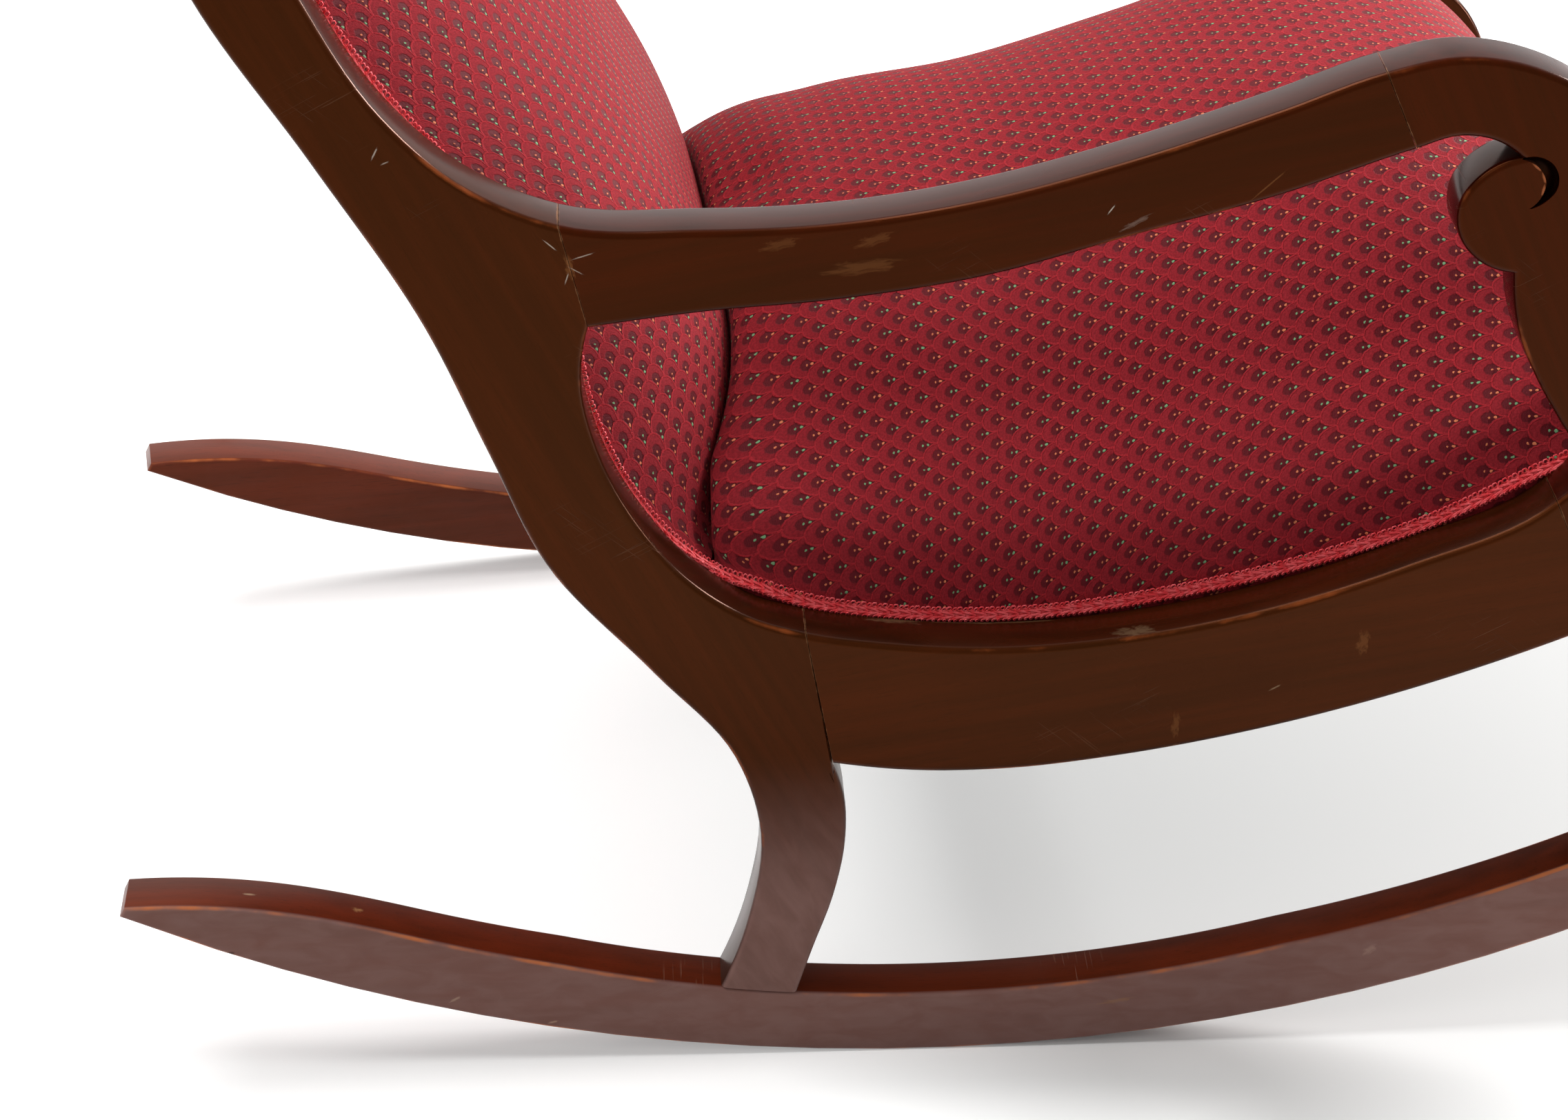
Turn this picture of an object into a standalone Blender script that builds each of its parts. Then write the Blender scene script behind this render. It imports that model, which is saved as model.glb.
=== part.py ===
"""Upholstered rocking chair: shaped plank side frames on rockers, sprung seat and padded back.

Metres, +Z up, front towards -Y. The origin is on the floor, midway between the rocker tips.
A side frame is drawn flat: u runs forward from the rocker's rear tip, and z runs up.
"""

import math

import bmesh
import bpy
from mathutils import Matrix, Vector
from mathutils.geometry import interpolate_bezier

CHAIR = "rocking_chair"

# Side frames
PLANK = 0.030                   # thickness of the side frames' planks
REAR_HALF_WIDTH = 0.264         # centre plane to a frame's outer face, at the rear tips
SPLAY = math.radians(3.88)      # each frame opens towards the front
EASED_EDGE = 0.0025             # rounding of the planks' long edges
FIT_GAP = 0.0003                # between pieces that touch

# Rockers
ROCKER_RADIUS = 0.936
ROCKER_REAR = 0.416             # balance point to rear tip
ROCKER_FRONT = 0.504            # balance point to front tip
ROCKER_DEPTH = 0.040            # under the legs
ROCKER_WAIST = 0.036            # at the balance point
ROCKER_WAIST_REACH = 0.200      # balance point to where the full depth starts
ROCKER_END = 0.160              # length over which an end is rounded down
ROCKER_TIP = 0.006              # depth left at a tip
ROCKER_END_POWER = 2.6
SOLE_FLAT = 0.036               # flat that a rocker stands on, and its other facets
ROCKER_END_STEPS = 9
ROCKER_BODY_STEPS = 18
ROCKER_END_GATHER = 1.4         # how much closer the upper edge's points lie near a tip
FOOT_STEPS = 3

# Dowels of the butt joints, and the leg tenons
DOWEL_RADIUS = 0.005
DOWEL_LENGTH = 0.050
DOWEL_END_ROOM = 0.001          # glue space past each end
ARM_DOWEL_SPACING = 0.020
RAIL_DOWEL_SPACING = 0.040
TENON_WIDTH = 0.024
TENON_THICKNESS = 0.014
TENON_LENGTH = 0.020
TENON_ROOT = 0.012              # length of the tenon's stock inside the leg

# Seat frame, whose underside is one sloping plane
SEAT_REAR_X = 0.354             # rear tip to the rear rail's front face
SEAT_REAR_Z = 0.1811            # height of the underside there
SEAT_SLOPE = math.atan(0.155)
SEAT_LENGTH = 0.448             # rear rail to front rail, inside, along the slope
SEAT_RAIL = 0.030               # thickness of the front and rear rails
REAR_RAIL_HEIGHT = 0.034
FRONT_RAIL_HEIGHT = 0.066
BATTEN = 0.020                  # thickness of the inner side battens
RAIL_TENON_DEPTH = 0.008        # stub tenons of the cross rails, let into the posts
RAIL_TENON_THICKNESS = 0.010
RAIL_TENON_SHARE = 0.6          # of a rail's height

# Webbing and springs
WEBBING = 0.0015
WEBBING_WIDTH = 0.050
CROSS_STRAP_SPACING = 0.190
STRAP_EASE = 0.012              # length over which a strap changes level
TACKED = 0.8                    # share of a rail's thickness that straps and cloths are tacked over
SPRING_HEIGHT = 0.110
SPRING_END_RADIUS = 0.040
SPRING_WAIST_RADIUS = 0.026
SPRING_WIRE = 0.0018            # wire radius
SPRING_TURNS = 5
SPRING_TURN_POINTS = 9
SPRING_WAIST_POWER = 1.6
SPRING_END_CLOSING = 0.35       # how much closer the turns lie at a spring's ends
SPRING_SIDE_ROOM = 0.006        # outer springs to the edge of the burlap's flat top

# Seat and back coverings
COVER = 0.0025
BURLAP = 0.0012
DECK_SLOPE_RUN = 0.050          # from the seat frame in to the flat top over the springs
DUST_COVER = 0.001
BACK_PAD_EDGE = 0.002           # thickness of the back's stuffing at its sides
BACK_BATTEN_DEPTH = 0.026
BACK_BATTEN = 0.020
BACK_STRAP_ROWS = (3, 7, 11)    # rows of the covering that the back's straps lie behind
BACK_RAIL_ROW = 15              # row of the covering where the lower back rail starts
COVER_ROWS = 18
COVER_COLUMNS = 12
CROWN_POWER = 2.6               # how fast a covering rises from its edge
COLUMN_GATHER = 0.85            # how much closer a covering's columns lie near its sides
SIDE_CLEARANCE = 0.0005         # covering to plank

# Back rails
CREST_THICKNESS = 0.024
CREST_LAP = 0.016               # that the coverings lap over the crest rail
CREST_PAD_GAP = 0.001           # crest rail to the top of the back's pad
CREST_END_RISE = 0.006          # stile top up to the crest rail's upper edge, at its ends
CREST_RISE = 0.028              # and at its crown

# Joints between the planks, on the frame's outline
ARM_REAR_TOP = (0.237, 0.483)
ARM_REAR_UNDER = (0.250, 0.429)
ARM_FRONT_TOP = (0.627, 0.553)
ARM_FRONT_UNDER = (0.644, 0.514)
RAIL_REAR_TOP = (0.355, 0.257)
RAIL_REAR_UNDER = (0.369, 0.180)
RAIL_FRONT_TOP = (0.729, 0.323)
RAIL_FRONT_UNDER = (0.760, 0.252)
STILE_TOP_REAR = (0.001, 1.030)
STILE_TOP_FRONT = (0.041, 1.034)
REAR_FOOT = (0.311, 0.351)
FRONT_FOOT = (0.774, 0.822)

# Curves of the frame, each through a few points
STILE_REAR = [
    STILE_TOP_REAR, (0.007, 0.960), (0.016, 0.860), (0.028, 0.760), (0.046, 0.665), (0.072, 0.600),
    (0.122, 0.517), (0.172, 0.430), (0.200, 0.362), (0.226, 0.300), (0.279, 0.235), (0.319, 0.185),
    (0.332, 0.138), (0.326, 0.088),
]
TOP_LINE = [
    STILE_TOP_FRONT, (0.047, 0.960), (0.058, 0.860), (0.072, 0.760), (0.093, 0.665), (0.122, 0.599),
    (0.156, 0.540), (0.190, 0.506), ARM_REAR_TOP, (0.304, 0.479), (0.368, 0.481), (0.439, 0.492),
    (0.509, 0.511), (0.579, 0.535), ARM_FRONT_TOP, (0.662, 0.560), (0.698, 0.554), (0.732, 0.535),
    (0.753, 0.506), (0.759, 0.475), (0.766, 0.438), (0.784, 0.403), (0.815, 0.371), (0.844, 0.344),
    (0.858, 0.316), (0.862, 0.286), (0.855, 0.248), (0.839, 0.212), (0.824, 0.178),
]
ARM_UNDER_LINE = [
    ARM_REAR_UNDER, (0.304, 0.436), (0.368, 0.441), (0.440, 0.452), (0.511, 0.472), (0.582, 0.492),
    ARM_FRONT_UNDER, (0.664, 0.520), (0.682, 0.517), (0.694, 0.509),
]
SCROLL_LINE = [
    (0.694, 0.509), (0.677, 0.501), (0.667, 0.487), (0.667, 0.471), (0.677, 0.456), (0.696, 0.448),
]
OPENING_LINE = [
    (0.696, 0.448), (0.700, 0.421), (0.712, 0.392), (0.727, 0.366), (0.738, 0.348), (0.739, 0.334),
    RAIL_FRONT_TOP, (0.657, 0.288), (0.596, 0.267), (0.520, 0.251), (0.457, 0.246), (0.395, 0.250),
    RAIL_REAR_TOP, (0.331, 0.265), (0.297, 0.289), (0.273, 0.320), (0.253, 0.363), (0.246, 0.402),
    ARM_REAR_UNDER,
]
RAIL_UNDER_LINE = [
    RAIL_REAR_UNDER, (0.402, 0.175), (0.459, 0.174), (0.514, 0.180), (0.587, 0.194), (0.643, 0.209),
    (0.700, 0.228), RAIL_FRONT_UNDER,
]
REAR_LEG_FRONT = [(0.359, 0.065), (0.370, 0.099), (0.376, 0.135), (0.375, 0.160), RAIL_REAR_UNDER]
FRONT_LEG_REAR = [RAIL_FRONT_UNDER, (0.772, 0.226), (0.778, 0.196), (0.776, 0.166)]

# Seat covering: rows from rear to front, each from its edge at the frame to its crown at the centre,
# as a share of the seat's length and a height over the seat frame's underside
SEAT_ROWS = [
    ((-0.036, 0.0924), (0.017, 0.1009)), ((-0.015, 0.0860), (0.055, 0.1519)),
    ((0.031, 0.0757), (0.145, 0.1973)), ((0.132, 0.0616), (0.283, 0.2120)),
    ((0.279, 0.0503), (0.449, 0.2146)), ((0.444, 0.0500), (0.634, 0.2261)),
    ((0.605, 0.0590), (0.782, 0.2290)), ((0.749, 0.0744), (0.903, 0.2215)),
    ((0.885, 0.0892), (1.000, 0.2006)), ((1.008, 0.1009), (1.060, 0.1712)),
    ((1.076, 0.0942), (1.091, 0.1296)),
]
SEAT_FRONT_TAIL = (0.70, 0.35, 0.05)    # levels on the front rail that the covering comes down by

# Back covering: rows from the crest down to the seat
BACK_ROWS = [
    ((0.044, 0.962), (0.062, 0.959)), ((0.049, 0.905), (0.090, 0.899)), ((0.058, 0.830), (0.112, 0.820)),
    ((0.069, 0.755), (0.138, 0.741)), ((0.089, 0.665), (0.176, 0.645)), ((0.117, 0.599), (0.208, 0.588)),
    ((0.151, 0.541), (0.243, 0.529)), ((0.185, 0.499), (0.272, 0.483)), ((0.216, 0.460), (0.297, 0.440)),
    ((0.238, 0.415), (0.316, 0.392)), ((0.247, 0.370), (0.329, 0.345)), ((0.264, 0.328), (0.335, 0.312)),
    ((0.285, 0.298), (0.332, 0.289)), ((0.307, 0.279), (0.318, 0.276)),
]

# Sampling of the curves
TURN_STEP = math.radians(9.0)
FLAT_ANGLE = 0.01               # faces closer than this to one plane are one face
LENGTH_STEP = 0.070
ROUND_STEPS = 8
DOWEL_SIDES = 10

FINISHES = {
    "mahogany": ((0.090, 0.024, 0.012), 0.28, 0.0),
    "beech": ((0.420, 0.270, 0.150), 0.65, 0.0),
    "jute": ((0.330, 0.240, 0.140), 0.90, 0.0),
    "spring_steel": ((0.330, 0.330, 0.340), 0.40, 1.0),
    "burlap": ((0.400, 0.300, 0.180), 0.95, 0.0),
    "stuffing": ((0.600, 0.540, 0.420), 0.95, 0.0),
    "brocade": ((0.330, 0.030, 0.048), 0.80, 0.0),
    "cambric": ((0.020, 0.020, 0.022), 0.90, 0.0),
}

HALF_FACET = 0.5 * SOLE_FLAT / ROCKER_RADIUS
REAR_TIP_ANGLE = -math.asin(ROCKER_REAR / ROCKER_RADIUS)
FRONT_TIP_ANGLE = math.asin(ROCKER_FRONT / ROCKER_RADIUS)
TIP_Y = 0.5 * ((ROCKER_REAR + ROCKER_FRONT) * math.cos(SPLAY) + PLANK * math.sin(SPLAY))
SIDES = {"right": -1, "left": 1}


def clear_scene():
    """Remove whatever the scene holds."""
    for item in list(bpy.data.objects):
        bpy.data.objects.remove(item, do_unlink=True)


def new_collection(name):
    """Return a new collection linked to the scene."""
    collection = bpy.data.collections.new(name)
    bpy.context.scene.collection.children.link(collection)
    return collection


def make_finishes():
    """Return one Principled material for each finish."""
    made = {}
    for name, (colour, roughness, metallic) in FINISHES.items():
        material = bpy.data.materials.new(name)
        material.use_nodes = True
        shader = material.node_tree.nodes["Principled BSDF"]
        shader.inputs["Base Color"].default_value = (*colour, 1.0)
        shader.inputs["Roughness"].default_value = roughness
        shader.inputs["Metallic"].default_value = metallic
        made[name] = material
    return made


clear_scene()
PARTS = new_collection(CHAIR)
CUTTERS = new_collection(CHAIR + "_cutters")
MATERIALS = make_finishes()


def add_object(name, data, finish=None, parent=None):
    """Link a part, with its finish, to the chair, or a cutter to the cutters."""
    item = bpy.data.objects.new(name, data)
    item.parent = parent
    if finish is None:
        CUTTERS.objects.link(item)
        item.hide_render = True
        item.display_type = "WIRE"
    else:
        PARTS.objects.link(item)
        data.materials.append(MATERIALS[finish])
    return item


def add_boolean(item, other, operation):
    """Cut, trim or join a part with a hidden solid."""
    modifier = item.modifiers.new(operation.lower(), "BOOLEAN")
    modifier.operation = operation
    modifier.object = other


# Curves and outlines

def knot_direction(knots, index):
    """Unit tangent of a smooth curve at one of its knots, from the chords on each side."""
    if index == 0:
        return 2 * (knots[1] - knots[0]).normalized() - knot_direction(knots, 1)
    if index == len(knots) - 1:
        return 2 * (knots[-1] - knots[-2]).normalized() - knot_direction(knots, index - 1)
    before = knots[index] - knots[index - 1]
    after = knots[index + 1] - knots[index]
    mixed = before.normalized() * after.length + after.normalized() * before.length
    return mixed.normalized()


def run(points, first=None, last=None):
    """Points along the smooth curve through some knots, from one knot to another."""
    knots = [Vector(point) for point in points]
    start = 0 if first is None else points.index(first)
    stop = len(points) - 1 if last is None else points.index(last)
    step = 1 if stop > start else -1
    sampled = [knots[start]]
    pairs = [(index, index + step) for index in range(start, stop, step)]
    for here, there in pairs:
        chord = (knots[there] - knots[here]).length
        leave = knot_direction(knots, here) * step
        arrive = knot_direction(knots, there) * step
        turn = leave.angle(arrive)
        count = max(1, math.ceil(turn / TURN_STEP), math.ceil(chord / LENGTH_STEP))
        handle = chord / 3
        curve = interpolate_bezier(
            knots[here], knots[here] + leave * handle, knots[there] - arrive * handle, knots[there], count + 1
        )
        sampled.extend(point.to_2d() for point in curve[1:])
    return sampled


def shortened(points):
    """The same run, with each end drawn back by the fitting gap."""
    ends = list(points)
    ends[0] = points[0] + (points[1] - points[0]).normalized() * FIT_GAP
    ends[-1] = points[-1] + (points[-2] - points[-1]).normalized() * FIT_GAP
    return ends


def spaced(outline):
    """A closed outline without repeated points."""
    pairs = zip(outline[-1:] + outline, outline)
    return [point for before, point in pairs if (point - before).length > 2 * FIT_GAP]


def rounded_top(front, rear):
    """Half circle from the front of a stile's top to its rear."""
    centre = (Vector(front) + Vector(rear)) / 2
    arm = Vector(front) - centre
    arc = []
    for index in range(1, ROUND_STEPS):
        turn = Matrix.Rotation(math.pi * index / ROUND_STEPS, 2)
        arc.append(centre + turn @ arm)
    return arc


# Rockers

def rocker_depth(angle):
    """Depth of the rocker at an angle from the balance point."""
    reach = min(1.0, abs(angle) * ROCKER_RADIUS / ROCKER_WAIST_REACH)
    body = ROCKER_WAIST + (ROCKER_DEPTH - ROCKER_WAIST) * reach ** 2
    from_tip = min(angle - REAR_TIP_ANGLE, FRONT_TIP_ANGLE - angle) * ROCKER_RADIUS
    share = min(1.0, max(0.0, from_tip / ROCKER_END))
    return ROCKER_TIP + (body - ROCKER_TIP) * (1 - (1 - share) ** ROCKER_END_POWER)


def rocker_point(angle, depth):
    """Point of the rocker at an angle, so far in from the sole."""
    radius = ROCKER_RADIUS - depth
    lift = ROCKER_RADIUS * math.cos(HALF_FACET)
    return Vector((ROCKER_REAR + radius * math.sin(angle), lift - radius * math.cos(angle)))


def rocker_angle(u):
    """Angle at which the rocker's upper edge passes a distance from the rear tip."""
    angle = 0.0
    for _ in range(8):
        angle = math.asin((u - ROCKER_REAR) / (ROCKER_RADIUS - rocker_depth(angle)))
    return angle


def rocker_top(u, gap):
    """Point just above the rocker's upper edge."""
    angle = rocker_angle(u)
    return rocker_point(angle, rocker_depth(angle) + gap)


def rocker_outline():
    """Sole in equal flats, one of them under the balance point, and the shaped upper edge."""
    facet = 2 * HALF_FACET
    first = math.ceil((REAR_TIP_ANGLE - HALF_FACET) / facet) + 1
    last = math.floor((FRONT_TIP_ANGLE - HALF_FACET) / facet)
    angles = [REAR_TIP_ANGLE]
    angles += [HALF_FACET + facet * index for index in range(first, last)]
    angles.append(FRONT_TIP_ANGLE)
    sole = [rocker_point(angle, 0.0) for angle in angles]
    end_angle = ROCKER_END / ROCKER_RADIUS
    inner = FRONT_TIP_ANGLE - REAR_TIP_ANGLE - 2 * end_angle
    ends = [end_angle * (index / ROCKER_END_STEPS) ** ROCKER_END_GATHER for index in range(ROCKER_END_STEPS)]
    stations = [FRONT_TIP_ANGLE - end for end in ends]
    for index in range(ROCKER_BODY_STEPS + 1):
        stations.append(FRONT_TIP_ANGLE - end_angle - inner * index / ROCKER_BODY_STEPS)
    stations += [REAR_TIP_ANGLE + end for end in reversed(ends)]
    upper = [rocker_point(angle, rocker_depth(angle)) for angle in stations]
    return sole + upper


def foot_line(span):
    """Sole of a leg, resting on the rocker, from its rear to its front."""
    rear, front = span
    places = [rear + (front - rear) * index / FOOT_STEPS for index in range(FOOT_STEPS + 1)]
    return [rocker_top(place, FIT_GAP) for place in places]


# Planks

def plank(name, outline, side, square=(), offset=0.0, thickness=PLANK, finish="mahogany", eased=EASED_EDGE):
    """Board of a side frame from its flat outline, with its long edges eased.

    The lines in square are joints, whose edges stay sharp. The offset is towards the chair's inside.
    """
    curve = bpy.data.curves.new(name, "CURVE")
    curve.dimensions = "2D"
    curve.fill_mode = "BOTH"
    curve.extrude = thickness / 2
    outline = spaced(outline)
    spline = curve.splines.new("POLY")
    spline.points.add(len(outline) - 1)
    for point, place in zip(spline.points, outline):
        point.co = (place[0], place[1], 0.0, 1.0)
    spline.use_cyclic_u = True
    drawn = add_object(name + "_outline", curve)
    bpy.context.view_layer.update()
    mesh = bpy.data.meshes.new_from_object(drawn.evaluated_get(bpy.context.evaluated_depsgraph_get()))
    bpy.data.objects.remove(drawn, do_unlink=True)
    mesh.name = name
    weld_board(mesh, square)
    item = add_object(name, mesh, finish, SIDE_FRAMES.get(side))
    item.location.z = SIDES.get(side, 0) * offset
    if eased > 0:
        bevel = item.modifiers.new("eased_edges", "BEVEL")
        bevel.limit_method = "WEIGHT"
        bevel.width = eased
        bevel.segments = 2
        bevel.use_clamp_overlap = False
    return item


def weld_board(mesh, square):
    """Close a board's caps, make each one face and mark the edges that are eased."""
    board = bmesh.new()
    board.from_mesh(mesh)
    bmesh.ops.remove_doubles(board, verts=board.verts, dist=1e-6)
    bmesh.ops.dissolve_limit(board, angle_limit=FLAT_ANGLE, verts=board.verts, edges=board.edges)
    bmesh.ops.recalc_face_normals(board, faces=board.faces)
    weights = board.edges.layers.float.new("bevel_weight_edge")
    for edge in board.edges:
        low, high = (vert.co for vert in edge.verts)
        along_thickness = abs(low.z - high.z) > 1e-6
        middle = ((low + high) / 2).to_2d()
        edge[weights] = 0.0 if along_thickness or on_any_line(middle, square) else 1.0
    board.to_mesh(mesh)
    board.free()


def on_any_line(point, lines):
    """Whether a point lies on one of some straight stretches."""
    for start, end in lines:
        start = Vector(start)
        along = Vector(end) - start
        share = (point - start).dot(along) / along.length_squared
        nearest = start + along * min(1.0, max(0.0, share))
        if (point - nearest).length < 2 * FIT_GAP and -0.01 < share < 1.01:
            return True
    return False


def joint_dowels(top, under, spacing):
    """Centres and direction of a joint's two dowels."""
    top = Vector(top)
    under = Vector(under)
    centre = (top + under) / 2
    along_joint = (top - under).normalized()
    across = Vector((along_joint.y, -along_joint.x))
    return [(centre + along_joint * spacing * share, across) for share in (-0.5, 0.5)]


def peg(target, centre, direction, radius, length):
    """Add a round peg, lying in the frame's plane, to a mesh in the making."""
    turn = Vector((direction.x, direction.y, 0)).to_track_quat("Z", "Y").to_matrix().to_4x4()
    place = Matrix.Translation((centre.x, centre.y, 0)) @ turn
    bmesh.ops.create_cone(
        target, cap_ends=True, segments=DOWEL_SIDES,
        radius1=radius, radius2=radius, depth=length, matrix=place,
    )


def block(target, centre, direction, width, length, thickness):
    """Add a squared tongue, lying in the frame's plane, to a mesh in the making."""
    across = Vector((direction.y, -direction.x))
    turn = Matrix((
        (across.x * width, direction.x * length, 0, centre.x),
        (across.y * width, direction.y * length, 0, centre.y),
        (0, 0, thickness, 0),
        (0, 0, 0, 1),
    ))
    bmesh.ops.create_cube(target, size=1.0, matrix=turn)


def finish_mesh(target, name):
    """Turn a mesh in the making into a closed mesh with its faces outwards."""
    bmesh.ops.recalc_face_normals(target, faces=target.faces)
    mesh = bpy.data.meshes.new(name)
    target.to_mesh(mesh)
    target.free()
    return mesh


def tenon(span, length, play):
    """Centre, direction and sizes of the tongue between a leg and its rocker."""
    middle = (span[0] + span[1]) / 2
    angle = rocker_angle(middle)
    down = Vector((math.sin(angle), -math.cos(angle)))
    seat = rocker_top(middle, FIT_GAP)
    centre = seat + down * (length - TENON_ROOT) / 2
    return centre, down, TENON_WIDTH + 2 * play, length + TENON_ROOT, TENON_THICKNESS + 2 * play


def cut_sockets(item, side, dowels, feet=()):
    """Drill a plank for its dowels and mortise it for the legs' tenons."""
    cutter = bmesh.new()
    for centre, direction in dowels:
        peg(cutter, centre, direction, DOWEL_RADIUS + FIT_GAP, DOWEL_LENGTH + 2 * DOWEL_END_ROOM)
    for span in feet:
        block(cutter, *tenon(span, TENON_LENGTH + DOWEL_END_ROOM, FIT_GAP))
    mesh = finish_mesh(cutter, item.name + "_sockets")
    add_boolean(item, add_object(mesh.name, mesh, parent=SIDE_FRAMES[side]), "DIFFERENCE")


def add_tenon(item, side, span):
    """Give a leg the tenon that enters its rocker."""
    tongue = bmesh.new()
    block(tongue, *tenon(span, TENON_LENGTH, 0.0))
    mesh = finish_mesh(tongue, item.name + "_tenon")
    add_boolean(item, add_object(mesh.name, mesh, parent=SIDE_FRAMES[side]), "UNION")


def make_side_frame(side):
    """Rocker, two posts, arm and seat rail of one side, with the dowels of their joints."""
    arm_rear = (ARM_REAR_TOP, ARM_REAR_UNDER)
    arm_front = (ARM_FRONT_TOP, ARM_FRONT_UNDER)
    rail_rear = (RAIL_REAR_TOP, RAIL_REAR_UNDER)
    rail_front = (RAIL_FRONT_TOP, RAIL_FRONT_UNDER)
    joints = {
        "arm_rear": joint_dowels(*arm_rear, ARM_DOWEL_SPACING),
        "arm_front": joint_dowels(*arm_front, ARM_DOWEL_SPACING),
        "rail_rear": joint_dowels(*rail_rear, RAIL_DOWEL_SPACING),
        "rail_front": joint_dowels(*rail_front, RAIL_DOWEL_SPACING),
    }

    rocker = plank(f"{side}_rocker", rocker_outline(), side)
    cut_sockets(rocker, side, [], (REAR_FOOT, FRONT_FOOT))

    rear_foot = foot_line(REAR_FOOT)
    outline = run(STILE_REAR + [tuple(rear_foot[0])]) + rear_foot[1:-1]
    outline += run([tuple(rear_foot[-1])] + REAR_LEG_FRONT)
    outline += run(OPENING_LINE, RAIL_REAR_TOP, ARM_REAR_UNDER)
    outline += run(TOP_LINE, ARM_REAR_TOP, STILE_TOP_FRONT)
    outline += rounded_top(STILE_TOP_FRONT, STILE_TOP_REAR)
    square = [arm_rear, rail_rear] + list(zip(rear_foot, rear_foot[1:]))
    rear_post = plank(f"{side}_rear_post", outline, side, square)
    add_tenon(rear_post, side, REAR_FOOT)
    cut_sockets(rear_post, side, joints["arm_rear"] + joints["rail_rear"])

    front_foot = foot_line(FRONT_FOOT)
    outline = run(TOP_LINE + [tuple(front_foot[-1])], ARM_FRONT_TOP) + front_foot[-2:0:-1]
    outline += run([tuple(front_foot[0])] + FRONT_LEG_REAR[::-1])
    outline += run(OPENING_LINE, RAIL_FRONT_TOP, OPENING_LINE[0])
    outline += run(SCROLL_LINE, SCROLL_LINE[-1], SCROLL_LINE[0])[1:-1]
    outline += run(ARM_UNDER_LINE, ARM_UNDER_LINE[-1], ARM_FRONT_UNDER)
    square = [arm_front, rail_front] + list(zip(front_foot, front_foot[1:]))
    front_post = plank(f"{side}_front_post", outline, side, square)
    add_tenon(front_post, side, FRONT_FOOT)
    cut_sockets(front_post, side, joints["arm_front"] + joints["rail_front"])

    outline = shortened(run(TOP_LINE, ARM_REAR_TOP, ARM_FRONT_TOP))
    outline += shortened(run(ARM_UNDER_LINE, ARM_FRONT_UNDER, ARM_REAR_UNDER))
    arm = plank(f"{side}_arm", outline, side, [arm_rear, arm_front])
    cut_sockets(arm, side, joints["arm_rear"] + joints["arm_front"])

    outline = shortened(run(OPENING_LINE, RAIL_REAR_TOP, RAIL_FRONT_TOP))
    outline += shortened(run(RAIL_UNDER_LINE, RAIL_FRONT_UNDER, RAIL_REAR_UNDER))
    rail = plank(f"{side}_seat_rail", outline, side, [rail_rear, rail_front])
    cut_sockets(rail, side, joints["rail_rear"] + joints["rail_front"])

    for joint, dowels in joints.items():
        for number, (centre, direction) in enumerate(dowels, start=1):
            pin = bmesh.new()
            peg(pin, centre, direction, DOWEL_RADIUS, DOWEL_LENGTH)
            name = f"{side}_{joint}_dowel_{number}"
            add_object(name, finish_mesh(pin, name), "beech", SIDE_FRAMES[side])


def make_frame_empty(side):
    """Empty that carries one side frame, drawn flat, to its splayed place."""
    sign = SIDES[side]
    forward = Vector((sign * math.sin(SPLAY), -math.cos(SPLAY), 0))
    upward = Vector((0, 0, 1))
    across = forward.cross(upward)
    inward = Vector((-sign * math.cos(SPLAY), -math.sin(SPLAY), 0))
    place = Vector((sign * REAR_HALF_WIDTH, TIP_Y, 0)) + inward * PLANK / 2
    empty = bpy.data.objects.new(f"{side}_side_frame", None)
    PARTS.objects.link(empty)
    axes = Matrix((forward, upward, across)).transposed().to_4x4()
    empty.matrix_world = Matrix.Translation(place) @ axes
    return empty


def inner_half_width(x):
    """Centre plane to a frame's inner face, at a distance forward of the rear tips."""
    return REAR_HALF_WIDTH + x * math.tan(SPLAY) - PLANK / math.cos(SPLAY)


# Seat frame, webbing and springs

def make_deck_empty():
    """Empty on the seat frame's underside, at the rear rail's front face, facing forward."""
    empty = bpy.data.objects.new("seat_deck", None)
    PARTS.objects.link(empty)
    slope = Matrix.Rotation(SEAT_SLOPE, 4, "X")
    facing = Matrix.Rotation(math.pi, 4, "Z")
    place = Matrix.Translation((0, TIP_Y - SEAT_REAR_X, SEAT_REAR_Z))
    empty.matrix_world = place @ facing @ slope
    return empty


def deck_to_side(along, up):
    """Distance forward of the rear tips, and height, of a point of the sloping seat frame."""
    x = SEAT_REAR_X + along * math.cos(SEAT_SLOPE) - up * math.sin(SEAT_SLOPE)
    z = SEAT_REAR_Z + along * math.sin(SEAT_SLOPE) + up * math.cos(SEAT_SLOPE)
    return x, z


def make_trimmer(name, depth):
    """Solid that fills the room between the two frames, and reaches some way into their planks."""
    ends = (-ROCKER_REAR, 2 * ROCKER_REAR + 2 * ROCKER_FRONT)
    corners = [(inner_half_width(x) + depth, TIP_Y - x) for x in ends]
    plan = [corners[0], corners[1], (-corners[1][0], corners[1][1]), (-corners[0][0], corners[0][1])]
    solid = bmesh.new()
    floor = solid.faces.new([solid.verts.new((x, y, 0.0)) for x, y in plan])
    raised = bmesh.ops.extrude_face_region(solid, geom=[floor])
    tops = [item for item in raised["geom"] if isinstance(item, bmesh.types.BMVert)]
    bmesh.ops.translate(solid, verts=tops, vec=(0, 0, 2 * STILE_TOP_REAR[1]))
    return add_object(name, finish_mesh(solid, name))


def crossbar(name, size, place, parent, trimmer, finish=None):
    """Board across the chair, trimmed to the splayed frames."""
    board = bmesh.new()
    bmesh.ops.create_cube(board, size=1.0, matrix=Matrix.Diagonal((*size, 1.0)))
    item = add_object(name, finish_mesh(board, name), finish, parent)
    item.location = place
    add_boolean(item, TRIMMERS[trimmer], "INTERSECT")
    return item


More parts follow.
